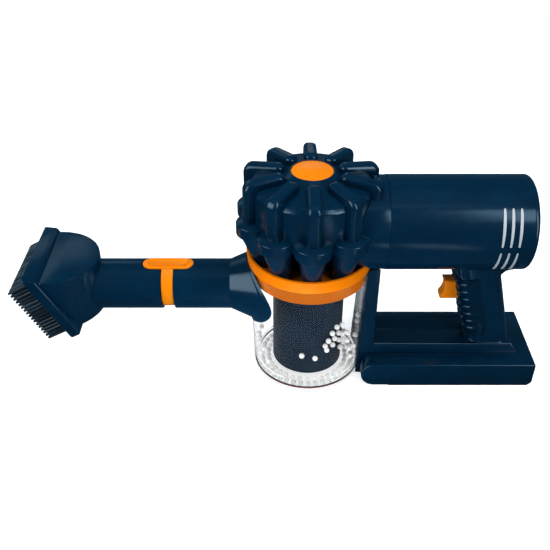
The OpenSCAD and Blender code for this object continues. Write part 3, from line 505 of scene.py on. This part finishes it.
# %% Orange shells
for node, width, finish, sink in [
        ("bin_collar", 0.6, dull_orange, 0), ("latch_button", 0.3, orange, 0.6),
        ("pod_cap", 0.6, orange, 0)]:
    shell = soften(node, "orange_plastic", finish, width, sink=sink)
    print(shell.name, len(shell.data.polygons))

# %% [markdown]
# ## Trigger
# The trigger's front is a finger's hollow over a lip at the foot. It could be carved with a
# round tool, but the hollow is deeper below than above. So its side outline follows two
# parabolas that meet at the waist, is swept across the trigger's width, and gets round edges.

# %% Trigger outline
low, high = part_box("trigger")
WAIST, WAIST_AT, FOOT_AT = 0.003, 0.66, 0.16
UPPER_BOW, OUTLINE_STEPS = 0.6, 12
rise = high[2] - low[2]
outline = []
for k in range(OUTLINE_STEPS + 1):
    up = k / OUTLINE_STEPS
    if up < WAIST_AT:
        bow = ((up - WAIST_AT) / (WAIST_AT - FOOT_AT)) ** 2
    else:
        bow = UPPER_BOW * ((up - WAIST_AT) / (1 - WAIST_AT)) ** 2
    outline.append((low[0] + WAIST * (1 - min(1, bow)), low[2] + rise * up))
outline += [(high[0], high[2]), (high[0], low[2])]
print("outline points:", len(outline))

# %% Trigger
count = len(outline)
near_side, far_side = list(range(count)), list(range(2 * count - 1, count - 1, -1))
edge_band = [(k, count + k, count + (k + 1) % count, (k + 1) % count) for k in range(count)]
trigger_mesh = bpy.data.meshes.new("trigger_shell")
trigger_mesh.from_pydata([(x, y, z) for y in (low[1], high[1]) for x, z in outline], [],
                         [near_side, far_side] + edge_band)
bm = bmesh.new()
bm.from_mesh(trigger_mesh)
bmesh.ops.recalc_face_normals(bm, faces=bm.faces)
bm.to_mesh(trigger_mesh)
bm.free()
trigger_mesh.materials.append(orange)
trigger = bpy.data.objects.new("trigger_shell", trigger_mesh)
scene.collection.objects.link(trigger)
round_edges(trigger, width=1.2, turn=30, crisp=32, steps=4)
place_piece(trigger, BODY_OF["trigger"], "orange_plastic", "trigger")
print("trigger faces:", len(trigger.data.polygons))

# %% [markdown]
# ## Springs
# Two springs give way as their joints move: the coil behind the trigger shortens towards its
# seat, and the leaf under the latch flattens towards its feet. A stiff copy would stick out of
# the piece that presses it. Each gets a steel copy of its own mesh; its seat and the axis of its
# travel are worked out, the leaf's seat a little below its feet, but nothing squashes the copy.

# %% Spring copies and their seats
X, Z = 0, 2
LOW_END, HIGH_END = 0, 1
for node, joint, axis, seat_end, below, travel in [
        ("trigger_spring", "trigger_pull", X, HIGH_END, 0, 4.1),
        ("latch_spring", "latch_press", Z, LOW_END, 0.3, 2.2)]:
    spring = soften(node, "steel", steel, 0)
    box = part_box(node)
    seat, along = list(box[seat_end]), [0, 0, 0]
    seat[axis] -= below * MM
    along[axis] = 1
    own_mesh(spring)
    print(spring.name, "gives", travel, "mm")

# %% [markdown]
# ## Trees for what repeats
# Ribs, cups, bristles, beads, ridges and stripes repeat, so Geometry Nodes make them. A tree is
# built once, with named inputs for its sizes. A small helper adds a node with its values and
# links, and another sets a tree's inputs, runs it and keeps the plain mesh.

# %% Helpers for node trees
SMOOTH_UNDER = math.radians(35)

def new_tree(name, inputs):
    """A geometry tree with named inputs; returns it with its input and output nodes."""
    tree = bpy.data.node_groups.new(name, "GeometryNodeTree")
    face = tree.interface
    face.new_socket("Geometry", in_out="OUTPUT", socket_type="NodeSocketGeometry")
    face.new_socket("Geometry", in_out="INPUT", socket_type="NodeSocketGeometry")
    for label, kind, value in inputs:
        socket = face.new_socket(label, in_out="INPUT", socket_type="NodeSocket" + kind)
        if value is not None:
            socket.default_value = value
    return tree, tree.nodes.new("NodeGroupInput").outputs, tree.nodes.new("NodeGroupOutput").inputs

def add(tree, kind, values=None, **settings):
    """Adds a node, sets its settings, and fills or links its inputs."""
    node = tree.nodes.new(kind)
    for key, value in settings.items():
        setattr(node, key, value)
    for key, value in (values or {}).items():
        if isinstance(value, bpy.types.NodeSocket):
            tree.links.new(value, node.inputs[key])
        else:
            node.inputs[key].default_value = value
    return node

def fillet(tree, curve, radius, count):
    """Adds a node that rounds a curve's corners with count points each."""
    return add(tree, "GeometryNodeFilletCurve",
               {"Curve": curve, "Radius": radius, "Count": count}, mode="POLY")

def math_node(tree, operation, *values, **settings):
    """Adds a node that works on plain numbers and returns its result."""
    node = add(tree, "ShaderNodeMath", dict(enumerate(values)), operation=operation, **settings)
    return node.outputs[0]

def along_curve(tree, points):
    """A number that changes along a swept curve; points are (share of the way, number)."""
    way = add(tree, "GeometryNodeSplineParameter")
    node = add(tree, "ShaderNodeFloatCurve", {"Value": way.outputs["Factor"]})
    course = node.mapping.curves[0]
    course.points[0].location, course.points[1].location = points[0], points[-1]
    for place in points[1:-1]:
        course.points.new(*place)
    node.mapping.update()
    return node.outputs[0]

def sweep(tree, curve, profile, scale):
    """Adds a node that sweeps a closed profile along a curve, with closed ends."""
    return add(tree, "GeometryNodeCurveToMesh", {
        "Curve": curve, "Profile Curve": profile, "Scale": scale, "Fill Caps": True})

def close_tree(tree, geometry, material, out):
    """Ends a tree: real copies with one material."""
    real = add(tree, "GeometryNodeRealizeInstances", {"Geometry": geometry})
    painted = add(tree, "GeometryNodeSetMaterial",
                  {"Geometry": real.outputs[0], "Material": material})
    tree.links.new(painted.outputs[0], out["Geometry"])

def grow(name, tree, values, mesh=None):
    """Runs a tree on a mesh and keeps the result as a plain mesh object."""
    obj = bpy.data.objects.new(name, mesh or bpy.data.meshes.new(name))
    scene.collection.objects.link(obj)
    mod = obj.modifiers.new("tree", "NODES")
    mod.node_group = tree
    for item in tree.interface.items_tree:
        if item.item_type == "SOCKET" and item.in_out == "INPUT" and item.name in values:
            mod[item.identifier] = values[item.name]
    bake(obj)
    obj.data.shade_smooth()
    obj.data.set_sharp_from_angle(angle=SMOOTH_UNDER)
    return obj

def join(name, meshes, finish):
    """One mesh object from several meshes that share a finish."""
    bm = bmesh.new()
    for mesh in meshes:
        bm.from_mesh(mesh)
    bmesh.ops.remove_doubles(bm, verts=bm.verts, dist=MERGE)
    mesh = bpy.data.meshes.new(name)
    bm.to_mesh(mesh)
    bm.free()
    mesh.materials.append(finish)
    mesh.shade_smooth()
    mesh.set_sharp_from_angle(angle=SMOOTH_UNDER)
    obj = bpy.data.objects.new(name, mesh)
    scene.collection.objects.link(obj)
    return obj

print("faces smooth under", round(math.degrees(SMOOTH_UNDER)), "degrees")

# %% [markdown]
# ## The cyclone pod
# A turned body carries ten round ribs, and eight cups stand on its foot; the motor housing
# takes the place of the other two. The body is a profile turned round the axis, with its
# corners rounded in the profile itself. One tree sweeps a rib along its path with a round
# end, and a second sets copies of any piece round the axis.

# %% Turned profiles
def rounded(points, steps=6):
    """Rounds the corners of an open profile; each point is (radius, height, corner radius)."""
    out = []
    for i, (r, z, c) in enumerate(points):
        here = Vector((r, z))
        if c == 0 or i in (0, len(points) - 1):
            out.append(here)
            continue
        back = (Vector(points[i - 1][:2]) - here).normalized()
        on = (Vector(points[i + 1][:2]) - here).normalized()
        half = back.angle(on) / 2
        reach = c / math.tan(half)
        middle = here + (back + on).normalized() * (c / math.sin(half))
        first, last = here + back * reach - middle, here + on * reach - middle
        swing = first.angle_signed(last)
        for k in range(steps + 1):
            out.append(middle + first @ Matrix.Rotation(swing * k / steps, 2))
    return out

ON_AXIS = 1e-6

def turned(name, profile, sides=128):
    """A closed mesh turned round the Z axis from a profile in millimetres."""
    bm = bmesh.new()
    rings = []
    for p in profile:
        if p.x < ON_AXIS:
            rings.append([bm.verts.new((0, 0, p.y * MM))])
        else:
            rings.append([bm.verts.new((p.x * MM * math.cos(a), p.x * MM * math.sin(a), p.y * MM))
                          for a in (2 * math.pi * k / sides for k in range(sides))])
    for one, two in zip(rings, rings[1:]):
        for k in range(sides):
            corners = [one[k % len(one)], one[(k + 1) % len(one)],
                       two[(k + 1) % len(two)], two[k % len(two)]]
            bm.faces.new(list(dict.fromkeys(corners)))
    bmesh.ops.recalc_face_normals(bm, faces=bm.faces)
    mesh = bpy.data.meshes.new(name)
    bm.to_mesh(mesh)
    bm.free()
    return mesh

CUP_RING_R, CUP_SIDES = 42, 64
body_mesh = turned("pod_body", rounded([
    (0, 168.2, 0), (14.9, 168.2, 0.3), (14.9, 170.5, 0.2), (15.6, 170.5, 0.3), (20.2, 166.2, 1.0),
    (40.4, 163.2, 3.2), (43, 160, 2.4), (43, 129.1, 0.6), (24, 129.1, 0.6), (24, 101, 0),
    (0, 101, 0)]))
cup_mesh = turned("pod_cup", rounded([
    (0, 138.9, 0), (7.9, 138.9, 1.0), (12.9, 137.1, 0.8), (12.9, 128.5, 0.6), (0, 128.5, 0)]),
    CUP_SIDES)
cup_mesh.transform(Matrix.Translation((CUP_RING_R * MM, 0, 0)))
print("turned:", len(body_mesh.polygons), len(cup_mesh.polygons))

# %% A tree that sweeps a round rib along a path
rib_tree, rib_in, rib_out = new_tree("swept_rib", [
    ("Half width", "Float", 0.0048), ("Height", "Float", 0.0092), ("Corner", "Float", 0.002),
    ("Edge", "Float", 0.0031), ("Material", "Material", None)])
path = add(rib_tree, "GeometryNodeMeshToCurve", {"Mesh": rib_in["Geometry"]})
bend = fillet(rib_tree, path.outputs[0], rib_in["Corner"], 6)
fine = add(rib_tree, "GeometryNodeResampleCurve", {"Curve": bend.outputs[0], "Count": 90})
along = add(rib_tree, "GeometryNodeSplineParameter")
share = math_node(rib_tree, "DIVIDE", along.outputs["Length"], rib_in["Half width"],
                  use_clamp=True)
short = math_node(rib_tree, "SUBTRACT", 1.0, share)
square = math_node(rib_tree, "MULTIPLY", short, short)
swell = math_node(rib_tree, "SQRT", math_node(rib_tree, "SUBTRACT", 1.0, square))
full = math_node(rib_tree, "MULTIPLY", rib_in["Half width"], 2.0)
bar = add(rib_tree, "GeometryNodeCurvePrimitiveQuadrilateral",
          {"Width": full, "Height": rib_in["Height"]})
ring = fillet(rib_tree, bar.outputs[0], rib_in["Edge"], 5)
tube = sweep(rib_tree, fine.outputs[0], ring.outputs[0], swell)
close_tree(rib_tree, tube.outputs[0], rib_in["Material"], rib_out)
print("rib tree:", len(rib_tree.nodes), "nodes")

# %% A tree that sets copies round the axis
round_tree, round_in, round_out = new_tree("round_the_axis", [
    ("Count", "Int", 10), ("First angle", "Float", 0.0), ("Step", "Float", 0.6),
    ("Material", "Material", None)])
spots = add(round_tree, "GeometryNodePoints", {"Count": round_in["Count"]})
number = add(round_tree, "GeometryNodeInputIndex")
angle = math_node(round_tree, "MULTIPLY_ADD", number.outputs[0], round_in["Step"],
                  round_in["First angle"])
spin = add(round_tree, "ShaderNodeCombineXYZ", {"Z": angle})
copies = add(round_tree, "GeometryNodeInstanceOnPoints", {
    "Points": spots.outputs[0], "Instance": round_in["Geometry"], "Rotation": spin.outputs[0]})
close_tree(round_tree, copies.outputs[0], round_in["Material"], round_out)
print("ring tree:", len(round_tree.nodes), "nodes")

# %% Ribs, cups and body become one shell
STEP = math.radians(36)
HUB, SHOULDER = (0.0196, 0, 0.1674), (0.0449, 0, 0.1646)
LONG_FOOT, SHORT_FOOT = 0.1321, 0.152
FIRST_CUP, FIRST_NECK_RIB = 54, -18

def rib_path(foot):
    """The rib's path from the hub over the shoulder down to its foot."""
    mesh = bpy.data.meshes.new("rib_path")
    mesh.from_pydata([HUB, SHOULDER, (SHOULDER[0], 0, foot)], [(0, 1), (1, 2)], [])
    return mesh

def ring_of(name, mesh, count, first):
    """Copies of a mesh round the axis, from a first angle in degrees."""
    return grow(name, round_tree, {"Count": count, "First angle": math.radians(first),
                                   "Step": STEP, "Material": navy}, mesh)

long_rib = grow("long_rib", rib_tree, {"Material": navy}, rib_path(LONG_FOOT))
short_rib = grow("short_rib", rib_tree, {"Material": navy}, rib_path(SHORT_FOOT))
parts = [ring_of("pod_ribs", long_rib.data.copy(), 8, FIRST_CUP),
         ring_of("neck_ribs", short_rib.data.copy(), 2, FIRST_NECK_RIB),
         ring_of("pod_cups", cup_mesh, 8, FIRST_CUP)]
pod = join("pod_shell", [body_mesh] + [p.data for p in parts], navy)
for obj in parts + [long_rib, short_rib]:
    bpy.data.objects.remove(obj)
place_piece(pod, "cleaner", "navy_plastic", "pod_dome")
print("pod:", len(pod.data.polygons), "faces")

# %% [markdown]
# ## Bristles
# The brush face carries rows of stiff moulded strands that taper to a blunt tip. Hair particles
# would be quicker, but they aren't mesh and get lost in an export. So a tree lays a grid on the
# flange's face, stands a tapered strand on every point, and leans each one a little at random,
# always in the same way because the seed is fixed.

# %% Bristle tree
bristle_tree, bristle_in, bristle_out = new_tree("bristle_rows", [
    ("Rows", "Int", 17), ("Columns", "Int", 24), ("Length up", "Float", 0.046),
    ("Length across", "Float", 0.061), ("Strand length", "Float", 0.018),
    ("Strand radius", "Float", 0.00115), ("Tip radius", "Float", 0.00105),
    ("Lean", "Float", 0.006), ("Twist", "Float", 3.0), ("Seed", "Int", 3),
    ("Material", "Material", None)])
grid = add(bristle_tree, "GeometryNodeMeshGrid", {
    "Size X": bristle_in["Length up"], "Size Y": bristle_in["Length across"],
    "Vertices X": bristle_in["Rows"], "Vertices Y": bristle_in["Columns"]})
strand = add(bristle_tree, "GeometryNodeMeshCone", {
    "Vertices": 6, "Side Segments": 2, "Radius Top": bristle_in["Tip radius"],
    "Radius Bottom": bristle_in["Strand radius"], "Depth": bristle_in["Strand length"]})
lean_back = math_node(bristle_tree, "MULTIPLY", bristle_in["Lean"], -1.0)
twist_back = math_node(bristle_tree, "MULTIPLY", bristle_in["Twist"], -1.0)
least = add(bristle_tree, "ShaderNodeCombineXYZ",
            {"X": lean_back, "Y": lean_back, "Z": twist_back})
most = add(bristle_tree, "ShaderNodeCombineXYZ",
           {"X": bristle_in["Lean"], "Y": bristle_in["Lean"], "Z": bristle_in["Twist"]})
tilt = add(bristle_tree, "FunctionNodeRandomValue", {
    0: least.outputs[0], 1: most.outputs[0], "Seed": bristle_in["Seed"]},
    data_type="FLOAT_VECTOR")
strands = add(bristle_tree, "GeometryNodeInstanceOnPoints", {
    "Points": grid.outputs["Mesh"], "Instance": strand.outputs["Mesh"],
    "Rotation": tilt.outputs[0]})
close_tree(bristle_tree, strands.outputs[0], bristle_in["Material"], bristle_out)
print("bristle tree:", len(bristle_tree.nodes), "nodes")

# %% Bristles on the brush face
FLANGE_BACK, FLANGE_T, BRUSH_LEAN = (-0.1816, 0, 0.0793), 0.0084, 28
BACKING_L, BACKING_W, BACKING_T, BACKING_EDGE = 0.049, 0.0636, 0.0008, 0.0002
BRUSH_TURN = (Matrix.Translation(FLANGE_BACK)
              @ Matrix.Rotation(math.radians(-90 - BRUSH_LEAN), 4, "Y"))
bristles = grow("bristle_rows", bristle_tree, {"Material": nylon})
backing = bmesh.new()
bmesh.ops.create_cube(backing, size=1,
                      matrix=Matrix.Diagonal((BACKING_L, BACKING_W, BACKING_T, 1)))
bmesh.ops.bevel(backing, geom=backing.edges[:], offset=BACKING_EDGE, segments=2, affect="EDGES")
base_mesh = bpy.data.meshes.new("bristle_base")
backing.to_mesh(base_mesh)
backing.free()
base_mesh.transform(Matrix.Translation((0, 0, FLANGE_T + BACKING_T / 2)))
bristles.data.transform(Matrix.Translation((0, 0, FLANGE_T)))
print("bristles:", len(bristles.data.polygons), "faces")

# %% Set the brush in place
brush = join("bristles", [bristles.data, base_mesh], nylon)
bpy.data.objects.remove(bristles)
brush.data.transform(BRUSH_TURN)
place_piece(brush, "brush_tool", "bristle_nylon", "bristle_field")
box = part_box("bristle_field")
print("field:", [round(v, 4) for v in box[0]], [round(v, 4) for v in box[1]])

# %% [markdown]
# ## Beads
# Loose foam beads lie in rings on the bin's floor, and some cling to the wall and the shroud. A
# simulation could drop them, but wouldn't let any cling. The places are points of a bare mesh
# instead; a tree puts a small ball on each of them and varies its size slightly.

# %% Bead places
BEAD_R, BED_Z, CLING_R, WALL_IN = 2.15, 4.6, 29.25, 4.05
RINGS = [(35.65, 40, 0), (30.85, 34, 4)]
BIN_LOW_R, BIN_LOW_Z, BIN_TOP_R, BIN_TOP_Z = 41.5, 5.6, 45, 98.5
CLING = [(-100, 27), (-80, 24.4), (-43.5, 48.3), (-52.8, 44.7), (-38.5, 41), (-59.4, 38.8),
         (-47.4, 38.2), (-36.2, 33.1), (-64.7, 34.8), (-51, 33), (-61.6, 30.1), (-29, 46),
         (-27, 36), (-22, 29), (-31, 24), (4, 26)]
WALL = [(-172, 30), (-166, 24), (-160, 17), (-150, 26), (178, 20), (-143, 17), (-15, 52),
        (-11, 44), (-44, 49), (-43, 40.5), (-38, 30), (-33, 20), (-25, 26), (-20, 35), (165, 24)]

def polar(r, a, z):
    """A point from its radius and height in millimetres and its angle in degrees."""
    return (r * MM * math.cos(math.radians(a)), r * MM * math.sin(math.radians(a)), z * MM)

def bin_radius(z):
    """The tapered bin's outer radius at a height, in millimetres."""
    up = (z - BIN_LOW_Z) / (BIN_TOP_Z - BIN_LOW_Z)
    return BIN_LOW_R + (BIN_TOP_R - BIN_LOW_R) * up

spots = [polar(r, i * 360 / count + first, BED_Z)
         for r, count, first in RINGS for i in range(count)]
spots += [polar(CLING_R, a, z) for a, z in CLING]
spots += [polar(bin_radius(z - BEAD_R) - WALL_IN, a, z) for a, z in WALL]
bead_points = bpy.data.meshes.new("bead_places")
bead_points.from_pydata(spots, [], [])
print("beads:", len(spots))

# %% Bead tree
bead_tree, bead_in, bead_out = new_tree("loose_beads", [
    ("Radius", "Float", BEAD_R * MM), ("Seed", "Int", 5), ("Smallest", "Float", 0.9),
    ("Material", "Material", None)])
ball = add(bead_tree, "GeometryNodeMeshIcoSphere",
           {"Radius": bead_in["Radius"], "Subdivisions": 3})
spread = add(bead_tree, "FunctionNodeRandomValue",
             {2: bead_in["Smallest"], 3: 1.0, "Seed": bead_in["Seed"]}, data_type="FLOAT")
balls = add(bead_tree, "GeometryNodeInstanceOnPoints", {
    "Points": bead_in["Geometry"], "Instance": ball.outputs["Mesh"],
    "Scale": spread.outputs[1]})
close_tree(bead_tree, balls.outputs[0], bead_in["Material"], bead_out)
bead_piece = grow("loose_beads", bead_tree, {"Material": foam}, bead_points)
place_piece(bead_piece, "cleaner", "bead_foam", "beads")
print("bead faces:", len(bead_piece.data.polygons))

# %% [markdown]
# ## Silver stripes
# Six silver stripes lie round each side of the housing: three long ones over three short
# ones. They could be painted in the finish, but a real band keeps its edge at any distance. A
# tree bends an arc, sweeps a flat band along it that narrows to its ends, and sets copies of it
# in a row.

# %% Stripe tree
stripe_tree, stripe_in, stripe_out = new_tree("silver_stripes", [
    ("Radius", "Float", 0.0342), ("Start", "Float", 0.0), ("Sweep", "Float", 0.8),
    ("Width", "Float", 0.0021), ("Lift", "Float", 0.0005), ("Count", "Int", 3),
    ("Pitch", "Vector", (-0.0057, 0, 0)), ("First", "Vector", (0.14, 0, 0.129)),
    ("Material", "Material", None)])
arc = add(stripe_tree, "GeometryNodeCurveArc", {
    "Resolution": 40, "Radius": stripe_in["Radius"], "Start Angle": stripe_in["Start"],
    "Sweep Angle": stripe_in["Sweep"]})
stand = add(stripe_tree, "GeometryNodeTransform", {
    "Geometry": arc.outputs[0], "Rotation": (math.radians(90), 0, math.radians(90))})
narrow = along_curve(stripe_tree, [(0, 0.3), (0.12, 0.9), (0.4, 1), (1, 0.65)])
band = add(stripe_tree, "GeometryNodeCurvePrimitiveQuadrilateral", {
    "Width": stripe_in["Width"], "Height": stripe_in["Lift"]})
swept = sweep(stripe_tree, stand.outputs[0], band.outputs[0], narrow)
places = add(stripe_tree, "GeometryNodeMeshLine", {
    "Count": stripe_in["Count"], "Start Location": stripe_in["First"],
    "Offset": stripe_in["Pitch"]})
row = add(stripe_tree, "GeometryNodeInstanceOnPoints", {
    "Points": places.outputs[0], "Instance": swept.outputs[0]})
close_tree(stripe_tree, row.outputs[0], stripe_in["Material"], stripe_out)
print("stripe tree:", len(stripe_tree.nodes), "nodes")

# %% Stripes on both sides
HOUSING_Z, HALF_STRIPE = 0.1291, 0.001
LONG_W, SHORT_W = 0.0019, 0.0015
front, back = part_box("vent_stripes")
FIRST = (back[0] - HALF_STRIPE, 0, HOUSING_Z)
print("stripes from", round(FIRST[0], 4), "to", round(front[0], 4))
rows = []
for start, reach, width in [(133, 46, LONG_W), (225.5, -38, SHORT_W),
                            (47, -46, LONG_W), (-45.5, 38, SHORT_W)]:
    rows.append(grow("stripe_row", stripe_tree, {
        "Start": math.radians(start), "Sweep": math.radians(reach), "Width": width,
        "First": FIRST, "Material": silver}))
stripes = join("stripes", [r.data for r in rows], silver)
for obj in rows:
    bpy.data.objects.remove(obj)
place_piece(stripes, "cleaner", "silver_trim", "vent_stripes")
print("stripe faces:", len(stripes.data.polygons))

# %% [markdown]
# ## Grip ridges
# Round ridges run round the front of the grip, where the fingers lie, and die out on its
# sides. A bump in the finish would not change the outline, so they are mesh: a tree rounds the
# path, sweeps a ridge that thins to both ends, and stacks copies.

# %% Ridge tree
ridge_tree, ridge_in, ridge_out = new_tree("grip_ridges", [
    ("Corner", "Float", 0.0085), ("Ridge radius", "Float", 0.0023),
    ("First", "Vector", (0, 0, 0.017)), ("Count", "Int", 7), ("Pitch", "Vector", (0, 0, 0.007)),
    ("Material", "Material", None)])
way = add(ridge_tree, "GeometryNodeMeshToCurve", {"Mesh": ridge_in["Geometry"]})
turn = fillet(ridge_tree, way.outputs[0], ridge_in["Corner"], 12)
even = add(ridge_tree, "GeometryNodeResampleCurve", {"Curve": turn.outputs[0], "Count": 60})
fade = along_curve(ridge_tree, [(0, 0.2), (0.14, 1), (0.86, 1), (1, 0.2)])
hoop = add(ridge_tree, "GeometryNodeCurvePrimitiveCircle",
           {"Resolution": 20, "Radius": ridge_in["Ridge radius"]})
ridge = sweep(ridge_tree, even.outputs[0], hoop.outputs[0], fade)
stack = add(ridge_tree, "GeometryNodeMeshLine", {
    "Count": ridge_in["Count"], "Start Location": ridge_in["First"],
    "Offset": ridge_in["Pitch"]})
ridges = add(ridge_tree, "GeometryNodeInstanceOnPoints",
             {"Points": stack.outputs[0], "Instance": ridge.outputs[0]})
close_tree(ridge_tree, ridges.outputs[0], ridge_in["Material"], ridge_out)
print("ridge tree:", len(ridge_tree.nodes), "nodes")

# %% Pad with its ridges
GRIP_FOOT, GRIP_LEAN = (0.14, 0, 0.0291), 14.5
RIDGE_END, RIDGE_FRONT, RIDGE_SIDE = -0.003, -0.0154, 0.0158
GRIP_TURN = Matrix.Translation(GRIP_FOOT) @ Matrix.Rotation(math.radians(-GRIP_LEAN), 4, "Y")
ridge_path = bpy.data.meshes.new("ridge_path")
ridge_path.from_pydata(
    [(RIDGE_END, -RIDGE_SIDE, 0), (RIDGE_FRONT, -RIDGE_SIDE, 0),
     (RIDGE_FRONT, RIDGE_SIDE, 0), (RIDGE_END, RIDGE_SIDE, 0)],
    [(0, 1), (1, 2), (2, 3)], [])
ridge_set = grow("ridge_set", ridge_tree, {"Material": gloss_black}, ridge_path)
ridge_set.data.transform(GRIP_TURN)
pad = join("grip_pad_shell", [nodes["grip_pad"].data, ridge_set.data], gloss_black)
bpy.data.objects.remove(ridge_set)
place_piece(pad, "cleaner", "black_plastic", "grip_pad")
print("pad faces:", len(pad.data.polygons))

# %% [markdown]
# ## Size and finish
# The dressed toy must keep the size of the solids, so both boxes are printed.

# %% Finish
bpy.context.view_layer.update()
for name, corners in [("solids", cad_box), ("dressed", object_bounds())]:
    print(name, [[round(v, 4) for v in c] for c in corners])
